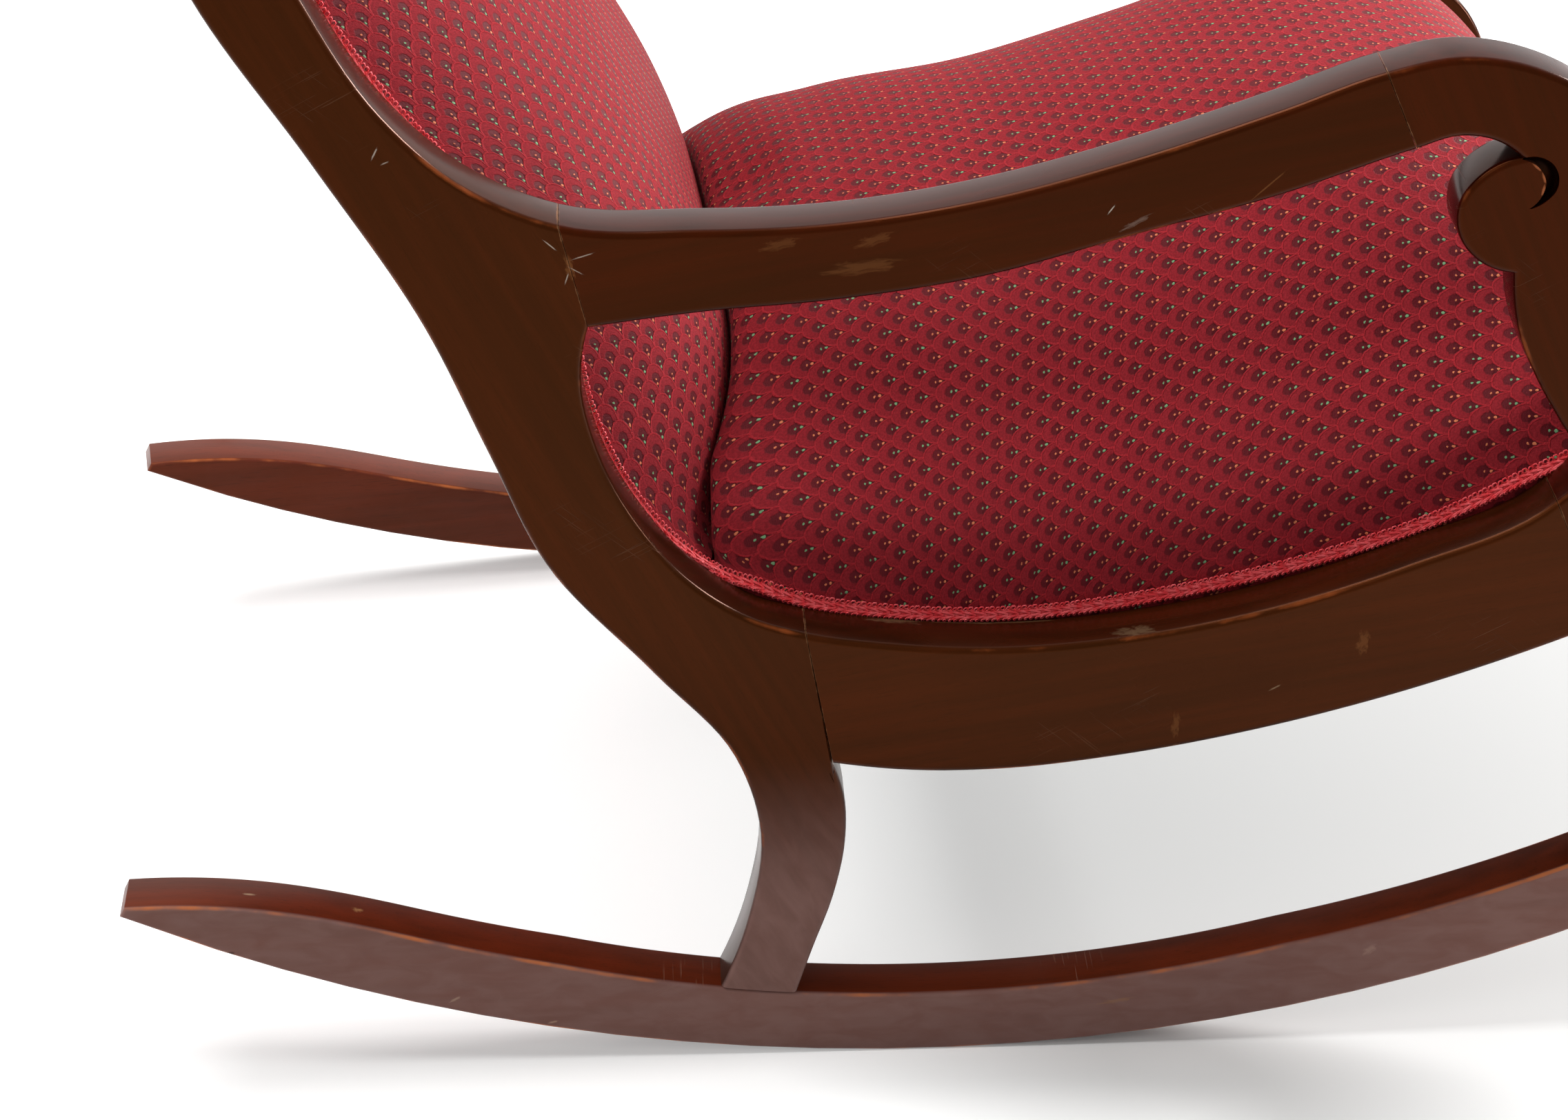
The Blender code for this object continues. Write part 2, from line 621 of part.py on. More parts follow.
def add_rail_tenons(rail, post, parent, place, height, upright):
    """Give a cross rail its stub tenons, and mortise the two posts for them.

    The rail's height runs along the parent's Y axis if it stands upright there, else along Z.
    """
    wide = 4 * REAR_HALF_WIDTH
    for kind, play in (("tenons", 0.0), ("mortises", FIT_GAP)):
        tall = RAIL_TENON_SHARE * height + 2 * play
        thick = RAIL_TENON_THICKNESS + 2 * play
        size = (wide, tall, thick) if upright else (wide, thick, tall)
        bar = crossbar(f"{rail.name}_{kind}", size, place, parent, kind)
        if kind == "tenons":
            add_boolean(rail, bar, "UNION")
        else:
            for side in SIDES:
                add_boolean(bpy.data.objects[f"{side}_{post}"], bar, "DIFFERENCE")


def seat_batten(side, bay):
    """Inner side member of the seat frame, screwed to the rail and both posts."""
    corners = []
    for along, up in ((-1, -1), (2, -1), (2, 2), (-1, 2)):
        corners.append(Vector(deck_to_side(along * SEAT_LENGTH, up * REAR_RAIL_HEIGHT)))
    offset = PLANK / 2 + FIT_GAP + BATTEN / 2
    name = f"{side}_seat_batten"
    item = plank(name, corners, side, offset=offset, thickness=BATTEN, finish="beech", eased=0.0)
    add_boolean(item, bay, "INTERSECT")


def seat_bay(deck):
    """Solid between the front and rear rails, as deep as the battens, for trimming them."""
    solid = bmesh.new()
    size = (4 * REAR_HALF_WIDTH, SEAT_LENGTH - 2 * FIT_GAP, REAR_RAIL_HEIGHT)
    bmesh.ops.create_cube(solid, size=1.0, matrix=Matrix.Diagonal((*size, 1.0)))
    bay = add_object("seat_bay", finish_mesh(solid, "seat_bay"), parent=deck)
    bay.location = (0, SEAT_LENGTH / 2, REAR_RAIL_HEIGHT / 2)
    return bay


def strap(name, start, end, crossings, first_over, place):
    """Webbing strap along a line, passing over and under the straps that cross it.

    Place turns a distance along the strap, a distance across it and a level into a point.
    """
    half_step = (WEBBING + FIT_GAP) / 2
    stations = [(start, 0.0)]
    over = first_over
    for crossing in crossings:
        level = half_step if over else -half_step
        reach = WEBBING_WIDTH / 2 + STRAP_EASE
        stations += [(crossing - reach, level), (crossing + reach, level)]
        over = not over
    stations.append((end, 0.0))
    ribbon = bmesh.new()
    rows = []
    for along, level in stations:
        rows.append([ribbon.verts.new(place(along, side * WEBBING_WIDTH / 2, level)) for side in (-1, 1)])
    for low, high in zip(rows, rows[1:]):
        ribbon.faces.new((low[0], low[1], high[1], high[0]))
    return thin_sheet(name, finish_mesh(ribbon, name), WEBBING, "jute", 0.0)


def thin_sheet(name, mesh, thickness, finish, offset, parent=None):
    """Give a surface its thickness, with offset 0 to both sides of it and -1 all inwards."""
    item = add_object(name, mesh, finish, parent)
    solid = item.modifiers.new("thickness", "SOLIDIFY")
    solid.thickness = thickness
    solid.offset = offset
    return item


def strap_places():
    """Places of the long straps across the seat, and of the cross straps along it."""
    cross_straps = [SEAT_LENGTH / 2 + CROSS_STRAP_SPACING * share for share in (-0.5, 0.5)]
    spring = SPRING_END_RADIUS + SPRING_WIRE
    outer = flat_half_width(cross_straps[0] - spring, SPRING_HEIGHT) - SPRING_SIDE_ROOM - spring
    return [-outer, 0.0, outer], cross_straps


def flat_half_width(along, up):
    """Centre plane to the edge of the burlap's flat top, at a place on the seat frame."""
    return inner_half_width(deck_to_side(along, up)[0]) - 2 * SIDE_CLEARANCE - BATTEN - DECK_SLOPE_RUN


def make_webbing(deck):
    """Straps woven under the seat frame, tacked to its underside."""
    long_straps, cross_straps = strap_places()
    level_zero = -(FIT_GAP + WEBBING / 2)
    tacked = TACKED * SEAT_RAIL
    for number, across in enumerate(long_straps, start=1):
        over = number % 2 == 1
        item = strap(
            f"seat_webbing_long_{number}", -tacked, SEAT_LENGTH + tacked, cross_straps, over,
            lambda along, side, level, x=across: (x + side, along, level_zero + level),
        )
        item.parent = deck
    for number, along in enumerate(cross_straps, start=1):
        reach = inner_half_width(deck_to_side(along - WEBBING_WIDTH / 2, 0)[0]) - 2 * FIT_GAP
        item = strap(
            f"seat_webbing_cross_{number}", -reach, reach, long_straps, number % 2 == 0,
            lambda place, side, level, y=along: (place, y - side, level_zero + level),
        )
        item.parent = deck


def spring_points(bottom, top):
    """Path of an hourglass coil spring between two levels."""
    count = SPRING_TURNS * SPRING_TURN_POINTS
    points = []
    for index in range(count + 1):
        share = index / count
        waist = 1 - abs(2 * share - 1) ** SPRING_WAIST_POWER
        radius = SPRING_END_RADIUS - (SPRING_END_RADIUS - SPRING_WAIST_RADIUS) * waist
        climb = share - math.sin(2 * math.pi * share) / (2 * math.pi) * SPRING_END_CLOSING
        angle = 2 * math.pi * index / SPRING_TURN_POINTS
        height = bottom + SPRING_WIRE + (top - bottom - 2 * SPRING_WIRE) * climb
        points.append(Vector((radius * math.cos(angle), radius * math.sin(angle), height)))
    return points


def least_coil_gap(points):
    """Smallest distance between the wire's surfaces, one turn or more apart along the coil."""
    least = math.inf
    for index, point in enumerate(points):
        for other in points[index + SPRING_TURN_POINTS - 2:]:
            least = min(least, (point - other).length - 2 * SPRING_WIRE)
    return least


def make_springs(deck):
    """Coil springs on the strap crossings, up to the burlap."""
    long_straps, cross_straps = strap_places()
    bottom = WEBBING / 2 + FIT_GAP
    points = spring_points(bottom, bottom + SPRING_HEIGHT)
    print("least gap between spring turns (mm):", round(least_coil_gap(points) * 1000, 2))
    number = 0
    for across in long_straps:
        for along in cross_straps:
            number += 1
            curve = bpy.data.curves.new(f"seat_spring_{number}", "CURVE")
            curve.dimensions = "3D"
            curve.bevel_depth = SPRING_WIRE
            curve.bevel_resolution = 1
            curve.use_fill_caps = True
            spline = curve.splines.new("POLY")
            spline.points.add(len(points) - 1)
            for control, point in zip(spline.points, points):
                control.co = (*point, 1.0)
            item = add_object(f"seat_spring_{number}", curve, "spring_steel", deck)
            item.location = (across, along, 0.0)


# Coverings and pads

def matched_rows(pairs, count):
    """Edge and crown points of a covering, at even steps along its rows."""
    edges = [Vector(edge) for edge, _ in pairs]
    crowns = [Vector(crown) for _, crown in pairs]
    rows = []
    for index in range(count):
        place = (len(pairs) - 1) * index / (count - 1)
        first = min(int(place), len(pairs) - 2)
        share = place - first
        rows.append((blend_knots(edges, first, share), blend_knots(crowns, first, share)))
    return rows


def blend_knots(knots, first, share):
    """Point between two knots of a smooth curve."""
    chord = (knots[first + 1] - knots[first]).length
    leave = knot_direction(knots, first) * chord
    arrive = knot_direction(knots, first + 1) * chord
    cube = share ** 3
    square = share ** 2
    return (
        knots[first] * (2 * cube - 3 * square + 1) + leave * (cube - 2 * square + share)
        + knots[first + 1] * (3 * square - 2 * cube) + arrive * (cube - square)
    )


def covering_grid(pairs, count):
    """Grid of points over a pad: rows along it, columns from side to side."""
    grid = []
    for edge, crown in matched_rows(pairs, count):
        row = []
        for column in range(COVER_COLUMNS + 1):
            side = 2 * column / COVER_COLUMNS - 1
            side = math.copysign(abs(side) ** COLUMN_GATHER, side)
            rise = 1 - abs(side) ** CROWN_POWER
            point = edge + (crown - edge) * rise
            reach = inner_half_width(point.x) - SIDE_CLEARANCE
            row.append(Vector((side * reach, TIP_Y - point.x, point.y)))
        grid.append(row)
    return grid


def grid_mesh(name, grid, facing):
    """Surface through a grid of points, facing the way given."""
    surface = bmesh.new()
    rows = [[surface.verts.new(point) for point in row] for row in grid]
    for low, high in zip(rows, rows[1:]):
        for index in range(len(low) - 1):
            surface.faces.new((low[index], low[index + 1], high[index + 1], high[index]))
    surface.normal_update()
    lean = sum((face.normal for face in surface.faces), Vector()).dot(Vector(facing))
    if lean < 0:
        bmesh.ops.reverse_faces(surface, faces=surface.faces)
    mesh = bpy.data.meshes.new(name)
    surface.to_mesh(mesh)
    surface.free()
    mesh.shade_smooth()
    return mesh


def sunk_grid(grid, facing, depth):
    """The same grid of points, moved in from its surface."""
    mesh = grid_mesh("sunk", grid, facing)
    columns = len(grid[0])
    sunk = []
    for number, row in enumerate(grid):
        sunk.append([
            point - mesh.vertices[number * columns + index].normal * depth for index, point in enumerate(row)
        ])
    bpy.data.meshes.remove(mesh)
    return sunk


def pad_mesh(name, front, rear):
    """Closed pad between two grids of points with as many rows and columns."""
    pad = bmesh.new()
    skins = [[[pad.verts.new(point) for point in row] for row in grid] for grid in (front, rear)]
    for skin in skins:
        for low, high in zip(skin, skin[1:]):
            for index in range(len(low) - 1):
                pad.faces.new((low[index], low[index + 1], high[index + 1], high[index]))
    rims = []
    for skin in skins:
        rim = list(skin[0])
        rim += [row[-1] for row in skin[1:]]
        rim += skin[-1][-2::-1]
        rim += [row[0] for row in skin[-2:0:-1]]
        rims.append(rim)
    for index in range(len(rims[0])):
        after = (index + 1) % len(rims[0])
        pad.faces.new((rims[0][index], rims[0][after], rims[1][after], rims[1][index]))
    mesh = finish_mesh(pad, name)
    mesh.shade_smooth()
    return mesh


def deck_point(across, along, up):
    """World point of a place on the sloping seat frame."""
    x, z = deck_to_side(along, up)
    return Vector((across, TIP_Y - x, z))


def seat_rows():
    """Rows of the seat covering, from its tail on the rear rail to its tail down the front rail."""
    rear = deck_to_side(-TACKED * SEAT_RAIL, REAR_RAIL_HEIGHT + BURLAP + COVER)
    face = SEAT_LENGTH + SEAT_RAIL + FIT_GAP + COVER
    front = [deck_to_side(face, level * FRONT_RAIL_HEIGHT) for level in SEAT_FRONT_TAIL]
    body = [tuple(deck_to_side(share * SEAT_LENGTH, up) for share, up in pair) for pair in SEAT_ROWS]
    return [(rear, rear)] + body + [(point, point) for point in front]


def burlap_grid(rows, lift, rear_end):
    """Burlap over the springs: flat on top, sloping down to the seat frame's upper edges."""
    flat = WEBBING / 2 + SPRING_HEIGHT + 2 * FIT_GAP + lift
    rear = REAR_RAIL_HEIGHT + FIT_GAP + lift
    front = FRONT_RAIL_HEIGHT + FIT_GAP + lift
    inner = SEAT_LENGTH - 2 * DECK_SLOPE_RUN
    flats = rows - 5
    stations = [(rear_end, rear, rear), (0.0, rear, rear)]
    stations += [(DECK_SLOPE_RUN + inner * index / flats, flat, rear) for index in range(flats + 1)]
    stations += [(SEAT_LENGTH - FIT_GAP, front, front), (SEAT_LENGTH + SEAT_RAIL, front, front)]
    columns = COVER_COLUMNS - 4
    grid = []
    for along, middle, edge in stations:
        half = inner_half_width(deck_to_side(along, edge)[0]) - SIDE_CLEARANCE
        shoulder = half - BATTEN - SIDE_CLEARANCE
        crown = flat_half_width(along, edge)
        row = [(-half, edge), (-shoulder, edge)]
        row += [(crown * (2 * index / columns - 1), middle) for index in range(columns + 1)]
        row += [(shoulder, edge), (half, edge)]
        grid.append([deck_point(across, along, up) for across, up in row])
    return grid


def make_seat(deck):
    """Seat frame, webbing, springs, burlap, stuffing, cover and dust cover."""
    wide = 4 * REAR_HALF_WIDTH
    for end, along, height in (
        ("rear", -SEAT_RAIL / 2, REAR_RAIL_HEIGHT), ("front", SEAT_LENGTH + SEAT_RAIL / 2, FRONT_RAIL_HEIGHT),
    ):
        place = (0, along, height / 2)
        rail = crossbar(f"{end}_seat_rail", (wide, SEAT_RAIL, height), place, deck, "room", "beech")
        add_rail_tenons(rail, f"{end}_post", deck, place, height, upright=False)
    bay = seat_bay(deck)
    for side in SIDES:
        seat_batten(side, bay)
    make_webbing(deck)
    make_springs(deck)

    rows = seat_rows()
    cover = covering_grid(rows, COVER_ROWS)
    thin_sheet("seat_cover", grid_mesh("seat_cover", cover, (0, 0, 1)), COVER, "brocade", -1.0)
    pad_rows = round((COVER_ROWS - 1) * len(SEAT_ROWS) / (len(rows) - 1)) + 1
    pad_top = sunk_grid(cover, (0, 0, 1), COVER + FIT_GAP)[:pad_rows]
    tail = -TACKED * SEAT_RAIL
    pad_under = burlap_grid(pad_rows, BURLAP + FIT_GAP, tail + COVER + 2 * FIT_GAP)
    add_object("seat_stuffing", pad_mesh("seat_stuffing", pad_top, pad_under), "stuffing")
    burlap_top = burlap_grid(pad_rows, BURLAP, tail)
    burlap_under = burlap_grid(pad_rows, 0.0, tail)
    add_object("seat_burlap", pad_mesh("seat_burlap", burlap_top, burlap_under), "burlap")

    under = -(2 * WEBBING + 3 * FIT_GAP)
    sheet = []
    for along in (-TACKED * SEAT_RAIL, SEAT_LENGTH + TACKED * SEAT_RAIL):
        half = inner_half_width(deck_to_side(along, under)[0]) - 2 * SIDE_CLEARANCE
        sheet.append([deck_point(-half, along, under), deck_point(half, along, under)])
    thin_sheet("dust_cover", grid_mesh("dust_cover", sheet, (0, 0, -1)), DUST_COVER, "cambric", 1.0)


def back_line(distance):
    """Line of the back covering's edge, moved towards the rear, at each row of the covering."""
    edges = [edge for edge, _ in matched_rows(BACK_ROWS, COVER_ROWS)]
    moved = []
    for index, edge in enumerate(edges):
        down = knot_direction(edges, index)
        moved.append(edge + Vector((down.y, -down.x)) * distance)
    return moved


def across_grid(line, columns, from_share=-1.0, inset=0.0):
    """Grid straight across the chair along a line, or only as far in from one side as the inset."""
    grid = []
    for point in line:
        half = inner_half_width(point.x) - SIDE_CLEARANCE
        start = half * from_share
        end = start - math.copysign(inset, from_share) if inset else half
        row = []
        for column in range(columns + 1):
            across = start + (end - start) * column / columns
            row.append(Vector((across, TIP_Y - point.x, point.y)))
        grid.append(row)
    return grid


def back_layer(name, near, far, finish, first=0, last=COVER_ROWS, **reach):
    """Layer of the back between two depths behind the covering's edge."""
    front = across_grid(back_line(near)[first:last], 1, **reach)
    rear = across_grid(back_line(far)[first:last], 1, **reach)
    add_object(name, pad_mesh(name, front, rear), finish)


def crest_lean():
    """Middle of the stiles' tops, and the direction down along them."""
    top = (Vector(STILE_TOP_REAR) + Vector(STILE_TOP_FRONT)) / 2
    lower = (Vector(STILE_REAR[1]) + Vector(TOP_LINE[1])) / 2
    return top, (lower - top).normalized()


def crest_drop():
    """Distance from the stiles' tops down to the crest rail's lower edge, just above the pad."""
    top, down = crest_lean()
    return (Vector(BACK_ROWS[0][0]) - top).dot(down) - CREST_PAD_GAP


def crest_lap(out):
    """Place where a covering ends on the crest rail, so far forward of the rail's middle."""
    top, down = crest_lean()
    forward = Vector((-down.y, down.x))
    return top + down * (crest_drop() - CREST_LAP) + forward * out


def make_crest_empty():
    """Empty between the stiles' tops, leaning with them."""
    top, down = crest_lean()
    empty = bpy.data.objects.new("crest", None)
    PARTS.objects.link(empty)
    lean = Matrix.Rotation(math.pi / 2 - math.atan2(down.x, -down.y), 4, "X")
    empty.matrix_world = Matrix.Translation((0, TIP_Y - top.x, top.y)) @ lean
    return empty


def crest_rail():
    """Arched board between the stiles' tops."""
    crest = make_crest_empty()
    drop = crest_drop()
    half = inner_half_width(crest_lean()[0].x) + PLANK / 2
    arch = [(half, CREST_END_RISE), (half / 2, (CREST_END_RISE + 3 * CREST_RISE) / 4), (0.0, CREST_RISE)]
    arch += [(-across, height) for across, height in arch[1::-1]]
    outline = run(arch) + [Vector((-half, -drop)), Vector((half, -drop))]
    item = plank("crest_rail", outline, None, thickness=CREST_THICKNESS)
    item.parent = crest
    add_boolean(item, TRIMMERS["room"], "INTERSECT")
    add_rail_tenons(item, "rear_post", crest, (0, -drop / 2, 0), drop, upright=True)


def make_back():
    """Crest and lower rails, battens, webbing, burlap, stuffing, cover and outside back."""
    crest_rail()
    crest_face = CREST_THICKNESS / 2 + FIT_GAP
    lap = crest_lap(crest_face + COVER)
    cover = across_grid([lap], COVER_COLUMNS) + covering_grid(BACK_ROWS, COVER_ROWS)
    thin_sheet("back_cover", grid_mesh("back_cover", cover, (0, -1, 0)), COVER, "brocade", -1.0)
    pad_front = sunk_grid(cover, (0, -1, 0), COVER + FIT_GAP)[1:]
    pad_depth = COVER + FIT_GAP + BACK_PAD_EDGE
    pad_rear = across_grid(back_line(pad_depth), COVER_COLUMNS)
    add_object("back_stuffing", pad_mesh("back_stuffing", pad_front, pad_rear), "stuffing")

    burlap = pad_depth + FIT_GAP
    webbing = burlap + BURLAP + FIT_GAP
    batten = webbing + WEBBING + FIT_GAP
    outside = batten + BACK_BATTEN_DEPTH + FIT_GAP
    back_layer("back_burlap", burlap, burlap + BURLAP, "burlap")
    for number, row in enumerate(BACK_STRAP_ROWS, start=1):
        back_layer(f"back_webbing_{number}", webbing, webbing + WEBBING, "jute", row, row + 2)
    for side, sign in SIDES.items():
        back_layer(
            f"{side}_back_batten", batten, batten + BACK_BATTEN_DEPTH, "beech", last=BACK_RAIL_ROW,
            from_share=sign, inset=BACK_BATTEN,
        )
    back_layer("lower_back_rail", batten, batten + BACK_BATTEN_DEPTH, "beech", first=BACK_RAIL_ROW)
    rail_back = -SEAT_RAIL - FIT_GAP
    skins = []
    for depth in (0.0, COVER):
        tail = Vector(deck_to_side(rail_back - depth, REAR_RAIL_HEIGHT / 2))
        skins.append(across_grid([crest_lap(-crest_face - depth)] + back_line(outside + depth) + [tail], 1))
    add_object("outside_back_cover", pad_mesh("outside_back_cover", *skins), "brocade")


SIDE_FRAMES = {side: make_frame_empty(side) for side in SIDES}
TRIMMERS = {
    "room": make_trimmer("between_frames", -FIT_GAP),
    "tenons": make_trimmer("between_tenon_ends", RAIL_TENON_DEPTH),
    "mortises": make_trimmer("between_mortise_ends", RAIL_TENON_DEPTH + DOWEL_END_ROOM),
}
for frame_side in SIDES:
    make_side_frame(frame_side)
make_seat(make_deck_empty())
make_back()
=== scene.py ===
"""Looks of an upholstered rocking chair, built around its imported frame.

Metres, +Z up, front towards -Y. A side frame is drawn flat: u runs forward from the rocker's rear
tip, z runs up, and w runs outwards from the middle of the plank.
"""

import logging
import math
from dataclasses import dataclass, field
from enum import Enum
from itertools import accumulate
from typing import Callable, Sequence

import bmesh
import bpy
from bpy.types import Material, Mesh, Node, NodeSocket, NodeTree, Object
from mathutils import Matrix, Vector
from mathutils.geometry import interpolate_bezier
from mathutils.kdtree import KDTree


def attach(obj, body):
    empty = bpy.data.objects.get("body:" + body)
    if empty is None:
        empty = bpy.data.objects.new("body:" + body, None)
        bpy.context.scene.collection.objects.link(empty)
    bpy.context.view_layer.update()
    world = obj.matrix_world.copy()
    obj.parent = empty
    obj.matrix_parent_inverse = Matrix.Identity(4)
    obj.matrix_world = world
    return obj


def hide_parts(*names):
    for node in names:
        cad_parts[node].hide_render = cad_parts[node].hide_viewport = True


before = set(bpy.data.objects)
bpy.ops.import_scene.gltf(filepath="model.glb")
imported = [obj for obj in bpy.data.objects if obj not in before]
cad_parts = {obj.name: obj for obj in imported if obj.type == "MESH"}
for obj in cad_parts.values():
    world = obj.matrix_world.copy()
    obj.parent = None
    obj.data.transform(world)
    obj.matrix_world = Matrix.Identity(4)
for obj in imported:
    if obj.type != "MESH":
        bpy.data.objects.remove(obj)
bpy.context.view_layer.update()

LOG = logging.getLogger("rocking_chair")

Flat = tuple[float, float]
Colour = tuple[float, float, float]
Grid = list[list[Vector]]
Line = list[tuple[Vector, Vector]]

# Sizes shared with the solids
PLANK = 0.030
REAR_HALF_WIDTH = 0.264
SPLAY = math.radians(3.88)
FIT_GAP = 0.0003
ROCKER_RADIUS = 0.936
ROCKER_REAR = 0.416
ROCKER_FRONT = 0.504
ROCKER_DEPTH = 0.040
ROCKER_WAIST = 0.036
ROCKER_WAIST_REACH = 0.200
ROCKER_END = 0.160
ROCKER_TIP = 0.006
ROCKER_END_POWER = 2.6
SOLE_FLAT = 0.036
SEAT_REAR_X = 0.354
SEAT_REAR_Z = 0.1811
SEAT_SLOPE = math.atan(0.155)
SEAT_LENGTH = 0.448
SEAT_RAIL = 0.030
REAR_RAIL_HEIGHT = 0.034
FRONT_RAIL_HEIGHT = 0.066
BATTEN = 0.020
TACKED = 0.8
SPRING_HEIGHT = 0.110
WEBBING = 0.0015
COVER = 0.0025
BURLAP = 0.0012
DECK_SLOPE_RUN = 0.050
SIDE_CLEARANCE = 0.0005
SEAT_CROWN_POWER = 3.2
BACK_CROWN_POWER = 4.6
BACK_PAD_EDGE = 0.002
BACK_BATTEN_DEPTH = 0.026
CREST_THICKNESS = 0.024
CREST_LAP = 0.016
CREST_PAD_GAP = 0.001
CREST_END_RISE = 0.006
CREST_RISE = 0.028
HALF_FACET = 0.5 * SOLE_FLAT / ROCKER_RADIUS
REAR_TIP_ANGLE = -math.asin(ROCKER_REAR / ROCKER_RADIUS)
FRONT_TIP_ANGLE = math.asin(ROCKER_FRONT / ROCKER_RADIUS)
TIP_Y = 0.5 * ((ROCKER_REAR + ROCKER_FRONT) * math.cos(SPLAY) + PLANK * math.sin(SPLAY))

# Sizes of the visual model alone
SHARP_ANGLE = math.radians(35)
EDGE_CROWDING = 0.85
SEAT_KNOT_GAPS = 14
SEAT_FRONT_GAPS = 2.6
SEAT_BRAID_GAPS = 11.2
LAP_STEP = 0.010
PAD_FILM = 0.0015
PAD_LIFT = 0.0035
THINNEST_PAD = 0.004
CUT_MARGIN = 0.004
CLOTH_FRAMES = 20
DUST_SAG = 0.006
DUST_CLOTH = 0.0006
OUTSIDE_CLOTH = 0.0012
RUN_DEGREES = 3.0
RUN_STEP = 0.009
LINE_SLACK = 0.01
MARK_REACH = 0.01
NEARLY_STRAIGHT = 0.05
SEED_STEP = 3.7

# Joints between the planks, as their upper and lower ends on the frame's outline
ARM_REAR = ((0.237, 0.483), (0.250, 0.429))
ARM_FRONT = ((0.627, 0.553), (0.644, 0.514))
RAIL_REAR = ((0.355, 0.257), (0.369, 0.180))
RAIL_FRONT = ((0.729, 0.323), (0.760, 0.252))
REAR_FOOT = (0.311, 0.351)
FRONT_FOOT = (0.774, 0.822)

# Curves of the frame, each through a few points
STILE_REAR = [
    (0.001, 1.030), (0.007, 0.960), (0.016, 0.860), (0.028, 0.760), (0.046, 0.665), (0.072, 0.600),
    (0.122, 0.517), (0.172, 0.430), (0.200, 0.362), (0.226, 0.300), (0.279, 0.235), (0.319, 0.185),
    (0.332, 0.138), (0.326, 0.088),
]
TOP_LINE = [
    (0.041, 1.034), (0.047, 0.960), (0.058, 0.860), (0.072, 0.760), (0.093, 0.665), (0.122, 0.599),
    (0.156, 0.540), (0.190, 0.506), ARM_REAR[0], (0.304, 0.479), (0.368, 0.481), (0.439, 0.492),
    (0.509, 0.511), (0.579, 0.535), ARM_FRONT[0], (0.662, 0.560), (0.698, 0.554), (0.732, 0.535),
    (0.753, 0.506), (0.759, 0.475), (0.766, 0.438), (0.784, 0.403), (0.815, 0.371), (0.844, 0.344),
    (0.858, 0.316), (0.862, 0.286), (0.855, 0.248), (0.839, 0.212), (0.824, 0.178),
]
ARM_UNDER_LINE = [
    ARM_REAR[1], (0.304, 0.436), (0.368, 0.441), (0.440, 0.452), (0.511, 0.472), (0.582, 0.492),
    ARM_FRONT[1], (0.664, 0.520), (0.682, 0.517), (0.694, 0.509),
]
SCROLL_LINE = [
    (0.694, 0.509), (0.677, 0.501), (0.667, 0.487), (0.667, 0.471), (0.677, 0.456), (0.696, 0.448),
]
OPENING_LINE = [
    (0.696, 0.448), (0.700, 0.421), (0.712, 0.392), (0.727, 0.366), (0.738, 0.348), (0.739, 0.334),
    RAIL_FRONT[0], (0.657, 0.288), (0.596, 0.267), (0.520, 0.251), (0.457, 0.246), (0.395, 0.250),
    RAIL_REAR[0], (0.331, 0.265), (0.297, 0.289), (0.273, 0.320), (0.253, 0.363), (0.246, 0.402),
    ARM_REAR[1],
]
RAIL_UNDER_LINE = [
    RAIL_REAR[1], (0.402, 0.175), (0.459, 0.174), (0.514, 0.180), (0.587, 0.194), (0.643, 0.209),
    (0.700, 0.228), RAIL_FRONT[1],
]
REAR_LEG_FRONT = [(0.359, 0.065), (0.370, 0.099), (0.376, 0.135), (0.375, 0.160), RAIL_REAR[1]]
FRONT_LEG_REAR = [RAIL_FRONT[1], (0.772, 0.226), (0.778, 0.196), (0.776, 0.166)]
CRESCENT_INNER = [
    (0.693, 0.508), (0.700, 0.506), (0.705, 0.501), (0.707, 0.496), (0.706, 0.490), (0.703, 0.485),
    (0.699, 0.482),
]
CRESCENT_OUTER = [
    (0.693, 0.508), (0.703, 0.5092), (0.7093, 0.5057), (0.7128, 0.4995), (0.7126, 0.4922), (0.7083, 0.4865),
    (0.699, 0.482),
]

# Coverings: rows from their edge at the frame to their crown at the centre
SEAT_ROWS = [
    ((-0.060, 0.1000), (-0.002, 0.1107)), ((-0.030, 0.0920), (0.020, 0.1630)),
    ((0.018, 0.0785), (0.060, 0.1940)), ((0.132, 0.0606), (0.190, 0.2070)),
    ((0.279, 0.0485), (0.390, 0.2090)), ((0.444, 0.0470), (0.605, 0.2200)),
    ((0.605, 0.0530), (0.760, 0.2280)), ((0.749, 0.0650), (0.880, 0.2195)),
    ((0.885, 0.0850), (0.973, 0.1980)), ((1.008, 0.0980), (1.028, 0.1680)),
    ((1.062, 0.0930), (1.058, 0.1290)),
]
SEAT_FRONT_TAIL = (0.70, 0.35, 0.05)
BACK_ROWS = [
    ((0.044, 0.962), (0.062, 0.959)), ((0.049, 0.905), (0.090, 0.899)), ((0.058, 0.830), (0.112, 0.820)),
    ((0.069, 0.755), (0.138, 0.741)), ((0.089, 0.665), (0.176, 0.645)), ((0.117, 0.599), (0.208, 0.588)),
    ((0.151, 0.541), (0.243, 0.529)), ((0.185, 0.499), (0.274, 0.483)), ((0.216, 0.460), (0.301, 0.440)),
    ((0.238, 0.415), (0.326, 0.392)), ((0.247, 0.370), (0.341, 0.345)), ((0.264, 0.328), (0.342, 0.312)),
    ((0.285, 0.298), (0.335, 0.289)), ((0.311, 0.277), (0.320, 0.274)),
]


